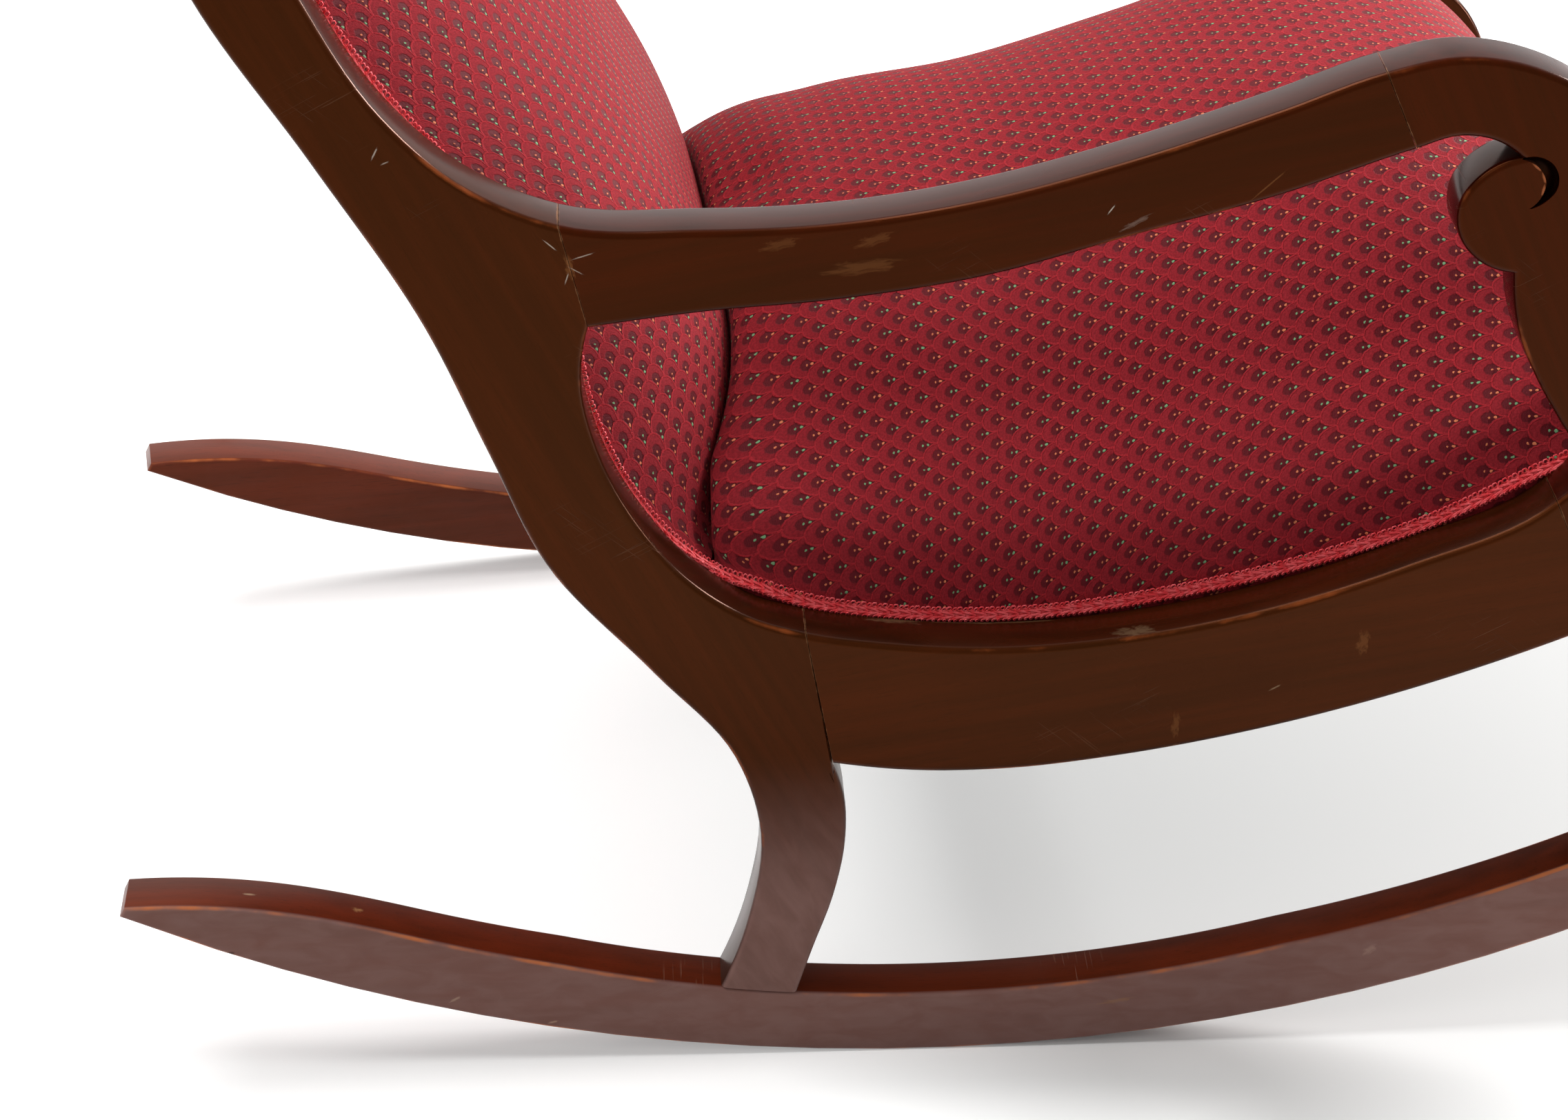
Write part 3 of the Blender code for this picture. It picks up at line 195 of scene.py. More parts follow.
class Side(Enum):
    """A side frame, as the sign of its place along X."""

    RIGHT = -1
    LEFT = 1

    @property
    def word(self) -> str:
        """The side's word in the names of its pieces."""
        return self.name.lower()

    def place(self, u: float, z: float, w: float) -> Vector:
        """World point of a place in the flat drawing of this side's frame."""
        sign = self.value
        forward = Vector((sign * math.sin(SPLAY), -math.cos(SPLAY), 0))
        outward = Vector((sign * math.cos(SPLAY), math.sin(SPLAY), 0))
        start = Vector((sign * REAR_HALF_WIDTH, TIP_Y, 0)) - outward * PLANK / 2
        return start + forward * u + outward * w + Vector((0, 0, z))


# Curves and small measures

def knot_direction(knots: Sequence[Vector], index: int) -> Vector:
    """Tangent of the smooth curve through some knots, at one of them."""
    if index == 0:
        return 2 * (knots[1] - knots[0]).normalized() - knot_direction(knots, 1)
    if index == len(knots) - 1:
        return 2 * (knots[-1] - knots[-2]).normalized() - knot_direction(knots, index - 1)
    before = knots[index] - knots[index - 1]
    after = knots[index + 1] - knots[index]
    return (before.normalized() * after.length + after.normalized() * before.length).normalized()


def run(points: Sequence[Flat], first: Flat | None = None, last: Flat | None = None) -> list[Vector]:
    """Close points along the smooth curve through some knots.

    Args:
        points: The knots.
        first: Knot to start from, or None for the first.
        last: Knot to end at, or None for the last. It may come before the first.

    Returns:
        Points at most 9 mm or 3 degrees apart.
    """
    knots = [Vector(point) for point in points]
    start = 0 if first is None else points.index(first)
    stop = len(points) - 1 if last is None else points.index(last)
    step = 1 if stop > start else -1
    sampled = [knots[start]]
    for here in range(start, stop, step):
        there = here + step
        chord = (knots[there] - knots[here]).length
        leave = knot_direction(knots, here) * step
        arrive = knot_direction(knots, there) * step
        turn = math.degrees(leave.angle(arrive))
        count = max(2, math.ceil(turn / RUN_DEGREES), math.ceil(chord / RUN_STEP))
        ends = (knots[here], knots[here] + leave * chord / 3, knots[there] - arrive * chord / 3, knots[there])
        sampled.extend(point.to_2d() for point in interpolate_bezier(*ends, count + 1)[1:])
    return sampled


def shortened(points: list[Vector]) -> list[Vector]:
    """The same run, with each end drawn back by the fitting gap."""
    first = points[0] + (points[1] - points[0]).normalized() * FIT_GAP
    last = points[-1] + (points[-2] - points[-1]).normalized() * FIT_GAP
    return [first] + points[1:-1] + [last]


def blend_knots(knots: Sequence[Vector], place: float) -> Vector:
    """Point of the smooth curve through some knots, at a place counted in knots."""
    first = min(int(place), len(knots) - 2)
    share = place - first
    chord = (knots[first + 1] - knots[first]).length
    leave = knot_direction(knots, first) * chord
    arrive = knot_direction(knots, first + 1) * chord
    cube = share ** 3
    square = share ** 2
    return (
        knots[first] * (2 * cube - 3 * square + 1) + leave * (cube - 2 * square + share)
        + knots[first + 1] * (3 * square - 2 * cube) + arrive * (cube - square)
    )


def clamp(value: float, low: float = 0.0, high: float = 1.0) -> float:
    """The value, held between two limits."""
    return max(low, min(high, value))


def smooth_step(start: float, end: float, value: float) -> float:
    """Share of the way from start to end, eased at both."""
    share = clamp((value - start) / (end - start))
    return share * share * (3 - 2 * share)


def inner_half_width(x: float) -> float:
    """Centre plane to a frame's inner face, at a distance forward of the rear tips."""
    return REAR_HALF_WIDTH + x * math.tan(SPLAY) - PLANK / math.cos(SPLAY)


def cloth_half_width(x: float) -> float:
    """Centre plane to a covering's edge, at a distance forward of the rear tips."""
    return inner_half_width(x) - SIDE_CLEARANCE


def deck_to_side(along: float, up: float) -> Flat:
    """Distance forward of the rear tips, and height, of a point of the sloping seat frame."""
    x = SEAT_REAR_X + along * math.cos(SEAT_SLOPE) - up * math.sin(SEAT_SLOPE)
    z = SEAT_REAR_Z + along * math.sin(SEAT_SLOPE) + up * math.cos(SEAT_SLOPE)
    return x, z


def rocker_depth(angle: float) -> float:
    """Depth of the rocker at an angle from the balance point."""
    reach = min(1.0, abs(angle) * ROCKER_RADIUS / ROCKER_WAIST_REACH)
    body = ROCKER_WAIST + (ROCKER_DEPTH - ROCKER_WAIST) * reach ** 2
    from_tip = min(angle - REAR_TIP_ANGLE, FRONT_TIP_ANGLE - angle) * ROCKER_RADIUS
    share = clamp(from_tip / ROCKER_END)
    return ROCKER_TIP + (body - ROCKER_TIP) * (1 - (1 - share) ** ROCKER_END_POWER)


def rocker_point(angle: float, depth: float) -> Vector:
    """Point of the rocker at an angle, so far in from the sole."""
    radius = ROCKER_RADIUS - depth
    lift = ROCKER_RADIUS * math.cos(HALF_FACET)
    return Vector((ROCKER_REAR + radius * math.sin(angle), lift - radius * math.cos(angle)))


def rocker_top(u: float) -> Vector:
    """Point just above the rocker's upper edge, at a distance from the rear tip."""
    angle = 0.0
    for _ in range(8):
        angle = math.asin((u - ROCKER_REAR) / (ROCKER_RADIUS - rocker_depth(angle)))
    return rocker_point(angle, rocker_depth(angle) + FIT_GAP)


# Node trees

class Sketch:
    """Short hand for drawing one node tree, where an input is a socket or a plain value."""

    def __init__(self, tree: NodeTree) -> None:
        """Start on a tree."""
        self.tree = tree

    def node(self, kind: str, inputs: dict | None = None, **settings: object) -> Node:
        """Add a node.

        Args:
            kind: The node's type.
            inputs: Values or sockets by input name or number.
            settings: The node's own properties.

        Returns:
            The new node.
        """
        made = self.tree.nodes.new(kind)
        for name, value in settings.items():
            setattr(made, name, value)
        self.feed_all(made, inputs or {})
        return made

    def feed(self, socket: NodeSocket, value: object) -> None:
        """Link a socket to an input, or set the input's own value."""
        if isinstance(value, NodeSocket):
            self.tree.links.new(value, socket)
        elif socket.type == "RGBA" and len(value) == 3:
            socket.default_value = (*value, 1.0)
        else:
            socket.default_value = value

    def feed_all(self, node: Node, inputs: dict) -> None:
        """Feed some inputs of a node, by their names or numbers."""
        for key, value in inputs.items():
            self.feed(node.inputs[key], value)

    def math(self, operation: str, first: object, second: object = 0.0, third: object = 0.0) -> NodeSocket:
        """One step of arithmetic."""
        return self.node("ShaderNodeMath", {0: first, 1: second, 2: third}, operation=operation).outputs[0]

    def times(self, first: object, second: object) -> NodeSocket:
        """Product of two values."""
        return self.math("MULTIPLY", first, second)

    def plus(self, first: object, second: object) -> NodeSocket:
        """Sum of two values."""
        return self.math("ADD", first, second)

    def minus(self, first: object, second: object) -> NodeSocket:
        """Difference of two values."""
        return self.math("SUBTRACT", first, second)

    def larger(self, first: object, second: object) -> NodeSocket:
        """Larger of two values."""
        return self.math("MAXIMUM", first, second)

    def weighted(self, base: object, *parts: tuple[object, object]) -> NodeSocket:
        """A value plus some others, each times its weight."""
        for value, weight in parts:
            base = self.math("MULTIPLY_ADD", value, weight, base)
        return base

    def diagonal(self, first: object, second: object) -> NodeSocket:
        """Length of the diagonal over two lengths."""
        return self.math("SQRT", self.weighted(self.times(first, first), (second, second)))

    def vector(self, operation: str, first: object, second: object = (0, 0, 0)) -> NodeSocket:
        """One step of vector arithmetic."""
        made = self.node("ShaderNodeVectorMath", {0: first, 1: second}, operation=operation)
        return made.outputs["Value" if operation in ("LENGTH", "DOT_PRODUCT") else "Vector"]

    def parts(self, place: object) -> list[NodeSocket]:
        """The three numbers of a place."""
        return list(self.node("ShaderNodeSeparateXYZ", {0: place}).outputs)

    def own_place(self) -> NodeSocket:
        """Place on the object, in its own coordinates."""
        return self.node("ShaderNodeTexCoord").outputs["Object"]

    def shown(self) -> NodeSocket:
        """1 for rays from the camera, in reflections and through glass, and else 0."""
        seen = self.node("ShaderNodeLightPath").outputs
        direct = self.larger(seen["Is Camera Ray"], seen["Is Glossy Ray"])
        return self.larger(direct, seen["Is Transmission Ray"])

    def fade(
        self, value: object, start: float, end: float, low: float = 0.0, high: float = 1.0,
    ) -> NodeSocket:
        """Smooth step from low at start to high at end."""
        inputs = {"Value": value, "From Min": start, "From Max": end, "To Min": low, "To Max": high}
        return self.node("ShaderNodeMapRange", inputs, interpolation_type="SMOOTHSTEP").outputs[0]

    def noise(
        self, place: object, scale: float | tuple = 1.0, detail: float = 3.0, bend: float = 0.0,
    ) -> NodeSocket:
        """Cloudy value from 0 to 1, at one scale or with one for each axis."""
        inputs = {"Vector": place, "Scale": scale, "Detail": detail, "Distortion": bend}
        if isinstance(scale, tuple):
            inputs["Vector"] = self.vector("MULTIPLY", place, scale)
            inputs["Scale"] = 1.0
        return self.node("ShaderNodeTexNoise", inputs).outputs[0]

    def mix(self, share: object, low: object, high: object) -> NodeSocket:
        """Colour between two others."""
        return self.node("ShaderNodeMix", {0: share, 6: low, 7: high}, data_type="RGBA").outputs[2]

    def stretch(
        self, place: object, scale: Sequence[float], turn: float = 0.0, shift: Sequence[float] = (0, 0, 0),
    ) -> NodeSocket:
        """Coordinates turned about the third axis, then scaled."""
        inputs = {"Vector": place, "Location": shift, "Rotation": (0, 0, turn)}
        return self.vector("MULTIPLY", self.node("ShaderNodeMapping", inputs).outputs[0], scale)


def new_material(name: str) -> tuple[Material, Sketch, Node]:
    """A material with its node sketch and its shader."""
    made = bpy.data.materials.new(name)
    made.use_nodes = True
    return made, Sketch(made.node_tree), made.node_tree.nodes["Principled BSDF"]


def bumped(sketch: Sketch, shader: Node, height: object, depth: float) -> None:
    """Give a shader a bump of some depth in metres."""
    bump = sketch.node("ShaderNodeBump", {"Height": height, "Distance": depth, "Strength": 1.0})
    sketch.feed(shader.inputs["Normal"], bump.outputs[0])


# Finishes

@dataclass(frozen=True)
class Mark:
    """One blemish in the lacquer, or a patch of painted shade, an ellipsoid in the side frame's flat drawing.
    """

    at: tuple[float, float, float]
    size: tuple[float, float, float]
    turn: float = 0.0
    colour: Colour = (0.36, 0.17, 0.07)
    strength: float = 0.6
    rough: float = 0.9


@dataclass(frozen=True)
class Lacquer:
    """Dark red mahogany under an old gloss lacquer, worn orange along the edges."""

    name: str
    grain: float
    seed: float
    dull: float = 0.0
    dust_top: float = 0.0
    joints: tuple = ()
    marks: tuple[Mark, ...] = ()
    dark: Colour = (0.0160, 0.0039, 0.0008)
    red: Colour = (0.0470, 0.0084, 0.0018)
    worn: Colour = (0.27, 0.062, 0.016)
    filler: Colour = (0.24, 0.115, 0.055)
    pore: Colour = (0.010, 0.003, 0.001)
    dust: Colour = (0.215, 0.128, 0.116)
    scratch: Colour = (0.26, 0.13, 0.07)

    def material(self) -> Material:
        """Build the finish for one board."""
        made, sketch, shader = new_material(self.name)
        place = sketch.node("ShaderNodeAttribute", attribute_name="frame").outputs["Vector"]
        wear = sketch.node("ShaderNodeAttribute", attribute_name="wear").outputs["Fac"]
        board = sketch.stretch(place, (1, 1, 1), -self.grain, (self.seed, 0.37 * self.seed, 0))
        broad = sketch.noise(board, (2.6, 17, 24), 3.0, 0.5)
        streak = sketch.noise(board, (7, 150, 150), 4.0)
        pores = sketch.noise(board, (90, 1300, 1300), 1.0)
        figure = sketch.plus(sketch.times(broad, 0.65), sketch.times(streak, 0.45))
        colour = sketch.mix(sketch.fade(figure, 0.32, 0.80), self.dark, self.red)
        colour = sketch.mix(sketch.fade(pores, 0.60, 0.74, 0.0, 0.35), colour, self.pore)
        if self.dust_top:
            colour = sketch.mix(self.film(sketch, place, board, streak), colour, self.dust)
        worn = self.worn_edges(sketch, place, wear)
        colour = sketch.mix(worn, colour, self.worn)
        scratches = self.scratches(sketch, place)
        colour = sketch.mix(sketch.times(scratches, 0.18), colour, self.scratch)
        colour = self.joint_lines(sketch, place, colour)
        for mark in self.marks:
            colour = self.blemish_or_shade(sketch, place, mark, colour)
        scuffed = sketch.fade(sketch.noise(place, 11.0, 4.0), 0.52, 0.78)
        gloss = sketch.weighted(0.19 + 0.20 * self.dull, (scuffed, 0.16 + 0.18 * self.dull))
        ripple = sketch.noise(place, 75.0, 2.0)
        height = sketch.weighted(sketch.times(streak, 0.10), (ripple, 0.20), (scratches, -0.25), (worn, -0.5))
        sketch.feed_all(shader, {
            "Base Color": colour, "Roughness": sketch.weighted(gloss, (worn, 0.22), (scratches, 0.2)),
            "Specular IOR Level": 0.24, "Specular Tint": (1.0, 0.30, 0.09),
        })
        bumped(sketch, shader, height, 0.0003)
        return made

    def film(self, sketch: Sketch, place: object, board: object, streak: object) -> NodeSocket:
        """Share of the dust that lies in fine patches low on the board's faces, thinner on the inner one."""
        _, up, out = sketch.parts(place)
        face = sketch.plus(sketch.fade(out, 0.0120, 0.0148), sketch.fade(out, -0.0120, -0.0148, 0.0, 0.15))
        low = sketch.fade(up, self.dust_top, 0.45 * self.dust_top)
        fine = sketch.noise(board, (45, 110, 90), 5.0, 0.6)
        patchy = sketch.weighted(sketch.times(streak, 0.25), (fine, 0.75))
        return sketch.times(sketch.times(face, sketch.fade(patchy, 0.30, 0.70, 0.67, 0.91)), low)

    def worn_edges(self, sketch: Sketch, place: object, wear: object) -> NodeSocket:
        """Share of bare orange wood along the rounded edges."""
        broken = sketch.noise(place, 42.0, 5.0)
        rubbed = sketch.noise(place, 7.0, 2.0)
        amount = sketch.weighted(sketch.times(broken, 0.6), (rubbed, 0.7))
        amount = sketch.times(sketch.fade(amount, 0.40, 0.86), wear)
        bare = 0.55 - 0.30 * self.dull
        return sketch.fade(amount, bare, 1.0, 0.0, 0.85)

    def scratches(self, sketch: Sketch, place: object) -> NodeSocket:
        """Share of fine pale scratches in a few patches."""
        shifted = sketch.vector("ADD", place, (self.seed, 0, 0))
        patch = sketch.fade(sketch.noise(shifted, 14.0, 2.0), 0.60, 0.72)
        lines = 0.0
        for turn, shift in ((0.7, 1.3), (-0.5, 4.1)):
            along = sketch.stretch(place, (26, 1500, 26), turn, (shift, self.seed, 0))
            lines = sketch.larger(sketch.fade(sketch.noise(along, detail=0.0), 0.73, 0.78), lines)
        return sketch.times(lines, patch)

    def joint_lines(self, sketch: Sketch, place: object, colour: object) -> NodeSocket:
        """Colour with the cracked lacquer and filler along the board's joints."""
        flecks = sketch.noise(place, 300.0, 2.0)
        broken = sketch.fade(sketch.noise(place, 110.0, 2.0), 0.42, 0.58, 0.25, 1.0)
        for top, under in self.joints:
            span = Vector(top) - Vector(under)
            along = span.normalized()
            reach = span.length / 2
            offset = sketch.vector("SUBTRACT", place, (*under, 0.0))
            across = sketch.math("ABSOLUTE", sketch.vector("DOT_PRODUCT", offset, (along.y, -along.x, 0.0)))
            middle = sketch.minus(sketch.vector("DOT_PRODUCT", offset, (along.x, along.y, 0.0)), reach)
            inside = sketch.math("LESS_THAN", sketch.math("ABSOLUTE", middle), reach + 0.002)
            ragged = sketch.weighted(across, (flecks, -0.0011))
            line = sketch.times(sketch.fade(ragged, 0.0, -0.0003, 0.0, 0.62), broken)
            colour = sketch.mix(sketch.times(line, inside), colour, self.filler)
        return colour

    def blemish_or_shade(self, sketch: Sketch, place: object, mark: Mark, colour: object) -> NodeSocket:
        """Colour with one smudge, chip, scuff or patch of painted shade laid over it."""
        offset = sketch.vector("SUBTRACT", place, mark.at)
        turned = sketch.stretch(offset, [1 / part for part in mark.size], -mark.turn)
        streaky = sketch.noise(turned, 2.4, 5.0, 0.8)
        edge = sketch.weighted(sketch.vector("LENGTH", turned), (streaky, mark.rough * 2))
        share = sketch.fade(edge, 0.85 + mark.rough, 0.25 + mark.rough, 0.0, mark.strength)
        return sketch.mix(share, colour, mark.colour)


@dataclass(frozen=True)
class Brocade:
    """Crimson cloth woven with overlapping scales, each with a satin bud and a pair of flecks."""

    name: str = "brocade"
    scale_width: float = 0.0132
    row_pitch: float = 0.0088
    rib: float = 0.00065
    ground: Colour = (0.318, 0.0200, 0.0285)
    deep: Colour = (0.046, 0.0034, 0.0056)
    thread: Colour = (0.480, 0.0260, 0.0360)
    satin: Colour = (0.130, 0.0100, 0.0165)
    green: Colour = (0.200, 0.420, 0.210)
    coral: Colour = (0.760, 0.230, 0.105)
    faded: Colour = (0.30, 0.04, 0.045)

    def material(self) -> Material:
        """Build the finish, laid out on the cloth's own flat map."""
        made, sketch, shader = new_material(self.name)
        flat = sketch.node("ShaderNodeUVMap", uv_map="weave").outputs[0]
        grain = sketch.node("ShaderNodeTexNoise", {"Vector": flat, "Scale": 700.0, "Detail": 2.0})
        wander = sketch.vector("SUBTRACT", grain.outputs["Color"], (0.5, 0.5, 0.5))
        shaken = sketch.vector("MULTIPLY", wander, (0.0012, 0.0012, 0))
        u, v, _ = sketch.parts(sketch.vector("ADD", flat, shaken))
        rows = sketch.math("DIVIDE", v, self.row_pitch)
        row = sketch.math("FLOOR", rows)
        rise = sketch.minus(rows, row)
        odd = sketch.math("FLOORED_MODULO", row, 2.0)
        steps = sketch.weighted(sketch.math("DIVIDE", u, self.scale_width), (odd, -0.5))
        across = sketch.times(sketch.minus(steps, sketch.math("ROUND", steps)), 2.0)
        radius = sketch.diagonal(across, rise)
        inside = sketch.math("LESS_THAN", radius, 1.0)
        outside = sketch.minus(1.0, inside)
        x = sketch.minus(across, sketch.times(sketch.math("SIGN", across), outside))
        y = sketch.minus(rise, outside)
        parity = sketch.math("FLOORED_MODULO", sketch.plus(odd, outside), 2.0)

        lumpy = sketch.noise(flat, 1300.0, 2.0)
        outline = sketch.fade(sketch.math("ABSOLUTE", sketch.minus(radius, 0.980)), 0.095, 0.040)
        outline = sketch.times(outline, sketch.fade(lumpy, 0.28, 0.60, 0.45, 1.0))
        # Painted shadow: where the scale above overlaps, the cloth just outside each scale's outline is
        # darkened with the deep colour and sunk in the bump.
        painted_scale_shadow = sketch.times(sketch.fade(radius, 1.30, 1.05), outside)
        stem_width = sketch.weighted(0.28, (y, 0.24))
        stem = sketch.fade(sketch.minus(sketch.math("ABSOLUTE", x), stem_width), 0.02, -0.05)
        stem = sketch.times(stem, sketch.fade(y, 0.02, -0.10))
        bud = sketch.larger(self.oval(sketch, x, y, 0.02, 0.50, 0.40, 0.80, 1.06), stem)
        big = self.oval(sketch, x, y, -0.36, 0.125, 0.105, 0.75, 1.0)
        small = self.oval(sketch, x, y, -0.03, 0.105, 0.072, 0.75, 1.0)
        flecks = sketch.larger(big, small)

        ribs = sketch.math("SINE", sketch.times(v, 2 * math.pi / self.rib))
        cross = sketch.math("SINE", sketch.times(u, 2 * math.pi / (0.8 * self.rib)))
        grainy = sketch.noise(flat, 900.0, 2.0)
        dim = tuple(0.66 * part for part in self.ground)
        fan = sketch.mix(sketch.fade(grainy, 0.30, 0.70), dim, self.ground)
        fan = sketch.mix(sketch.fade(y, -0.9, 0.9, 0.32, 0.0), fan, self.deep)
        hatch = sketch.mix(sketch.times(sketch.fade(ribs, -0.4, 0.9), 0.55), self.deep, self.satin)
        flower = sketch.mix(parity, self.green, self.coral)
        colour = fan
        for share, strength, laid in (
            (bud, 0.86, hatch), (painted_scale_shadow, 0.72, self.deep), (outline, 0.75, self.thread),
            (flecks, 0.95, flower),
        ):
            colour = sketch.mix(sketch.times(share, strength), colour, laid)
        faded = sketch.noise(flat, 9.0, 3.0)
        colour = sketch.mix(sketch.fade(faded, 0.35, 0.8, 0.0, 0.08), colour, self.faded)
        sketch.feed_all(shader, {
            "Base Color": colour, "Roughness": sketch.weighted(0.82, (bud, -0.26)),
            "Specular IOR Level": 0.20, "Specular Tint": (1.0, 0.35, 0.38),
            "Sheen Weight": 0.05, "Sheen Roughness": 0.4, "Sheen Tint": (1.0, 0.35, 0.35),
        })
        dome = sketch.fade(radius, 0.2, 0.98)
        puffed = sketch.times(sketch.minus(1.0, sketch.times(dome, dome)), inside)
        height = sketch.weighted(
            sketch.times(cross, 0.04), (ribs, 0.05), (grainy, 0.35), (outline, 0.75), (puffed, 0.20),
            (bud, -0.45), (painted_scale_shadow, -0.45), (flecks, 0.7),
        )
        bumped(sketch, shader, height, 0.00055)
        return made

    def oval(
        self, sketch: Sketch, x: object, y: object, centre: float, half_wide: float, half_long: float,
        solid: float, edge: float,
    ) -> NodeSocket:
        """Soft-edged oval on a scale's own axis.

        Args:
            sketch: The node sketch.
            x: Place across the scale.
            y: Place along the scale.
            centre: The oval's place along it.
            half_wide: Half its width.
            half_long: Half its length.
            solid: Share of its radius that is full.
            edge: Share of its radius where it ends.

        Returns:
            A share from 0 to 1.
        """
        wide = sketch.math("DIVIDE", x, half_wide)
        long = sketch.math("DIVIDE", sketch.minus(y, centre), half_long)
        return sketch.fade(sketch.diagonal(long, wide), edge, solid)


@dataclass(frozen=True)
class Satin:
    """Coral red satin cord of the gimp braid."""

    name: str = "gimp_satin"
    pale: Colour = (1.0, 0.150, 0.165)
    deep: Colour = (0.86, 0.055, 0.066)

    def material(self) -> Material:
        """Build the finish."""
        made, sketch, shader = new_material(self.name)
        place = sketch.own_place()
        cloud = sketch.noise(place, 260.0, 2.0)
        sketch.feed_all(shader, {
            "Base Color": sketch.mix(sketch.fade(cloud, 0.35, 0.65), self.deep, self.pale),
            "Roughness": 0.34, "Specular IOR Level": 0.5, "Specular Tint": (1.0, 0.35, 0.38),
        })
        bumped(sketch, shader, sketch.noise(place, 2600.0, 1.0), 0.0002)
        return made


@dataclass(frozen=True)
class PlainWood:
    """Unfinished beech of the hidden frame."""

    name: str = "plain_beech"
    stretch: tuple[float, float, float] = (9.0, 120.0, 120.0)
    pale: Colour = (0.44, 0.29, 0.165)
    dark: Colour = (0.25, 0.145, 0.075)

    def material(self) -> Material:
        """Build the finish."""
        made, sketch, shader = new_material(self.name)
        place = sketch.own_place()
        streak = sketch.noise(place, self.stretch, 4.0, 0.3)
        rays = sketch.noise(place, (260, 900, 900), 1.0)
        colour = sketch.mix(sketch.fade(streak, 0.3, 0.75), self.pale, self.dark)
        colour = sketch.mix(sketch.fade(rays, 0.60, 0.70, 0.0, 0.5), colour, self.dark)
        rough = sketch.fade(streak, 0.2, 0.8, 0.55, 0.75)
        sketch.feed_all(shader, {"Base Color": colour, "Roughness": rough})
        bumped(sketch, shader, streak, 0.0002)
        return made


@dataclass(frozen=True)
class PlainWeave:
    """Over and under weave of burlap, jute webbing or cambric."""

    name: str
    pitch: float
    pale: Colour
    dark: Colour
    slub: float = 0.3

    def material(self) -> Material:
        """Build the finish."""
        made, sketch, shader = new_material(self.name)
        place = sketch.own_place()
        wander = sketch.noise(place, 130.0, 2.0)
        waves = []
        for part in sketch.parts(place)[:2]:
            warped = sketch.weighted(part, (wander, self.slub * self.pitch))
            waves.append(sketch.math("SINE", sketch.times(warped, math.pi / self.pitch)))
        checker = sketch.times(waves[0], waves[1])
        slubs = sketch.noise(place, (40, 600, 40), 2.0)
        shade = sketch.weighted(sketch.times(slubs, 0.6), (checker, 0.35))
        sketch.feed_all(shader, {
            "Base Color": sketch.mix(sketch.fade(shade, 0.0, 0.6), self.dark, self.pale),
            "Roughness": 0.92, "Sheen Weight": 0.15,
        })
        bumped(sketch, shader, checker, 0.35 * self.pitch)
        return made


@dataclass(frozen=True)
class SpringSteel:
    """Drawn steel wire, slightly tarnished."""

    name: str = "spring_wire"
    bright: Colour = (0.30, 0.29, 0.28)
    tarnish: Colour = (0.13, 0.065, 0.035)

    def material(self) -> Material:
        """Build the finish."""
        made, sketch, shader = new_material(self.name)
        spots = sketch.noise(sketch.own_place(), 70.0, 4.0)
        sketch.feed_all(shader, {
            "Base Color": sketch.mix(sketch.fade(spots, 0.55, 0.75), self.bright, self.tarnish),
            "Roughness": sketch.fade(spots, 0.4, 0.8, 0.32, 0.7), "Metallic": 1.0,
        })
        bumped(sketch, shader, spots, 0.0001)
        return made


# Making pieces

def linked(name: str, data: bpy.types.ID) -> Object:
    """Object with some data, linked to the scene."""
    made = bpy.data.objects.new(name, data)
    bpy.context.scene.collection.objects.link(made)
    return made


def add_piece(name: str, mesh: Mesh, material: Material, nodes: Sequence[str]) -> Object:
    """Link a finished mesh as a piece of the chair.

    Args:
        name: The piece's name.
        mesh: Its mesh, in place.
        material: Its finish.
        nodes: The solids that it stands for.

    Returns:
        The new object.
    """
    mesh.materials.clear()
    mesh.materials.append(material)
    made = linked(name, mesh)
    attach(made, "root")
    if nodes:
        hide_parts(*nodes)
    LOG.info("%s: %d faces", name, len(mesh.polygons))
    return made


def turn_outwards(solid: bmesh.types.BMesh) -> None:
    """Make the faces of a closed mesh point outwards."""
    if solid.calc_volume(signed=True) < 0:
        bmesh.ops.reverse_faces(solid, faces=solid.faces)


def mesh_of(solid: bmesh.types.BMesh, name: str) -> Mesh:
    """Mesh of a draft, which is then freed."""
    mesh = bpy.data.meshes.new(name)
    solid.to_mesh(mesh)
    solid.free()
    return mesh


def on_any_line(point: Vector, lines: Sequence[tuple]) -> bool:
    """Whether a point lies on one of some straight stretches."""
    for start, end in lines:
        start = Vector(start)
        along = Vector(end) - start
        share = (point - start).dot(along) / along.length_squared
        nearest = start + along * clamp(share)
        if (point - nearest).length < 2 * FIT_GAP and -LINE_SLACK < share < 1 + LINE_SLACK:
            return True
    return False


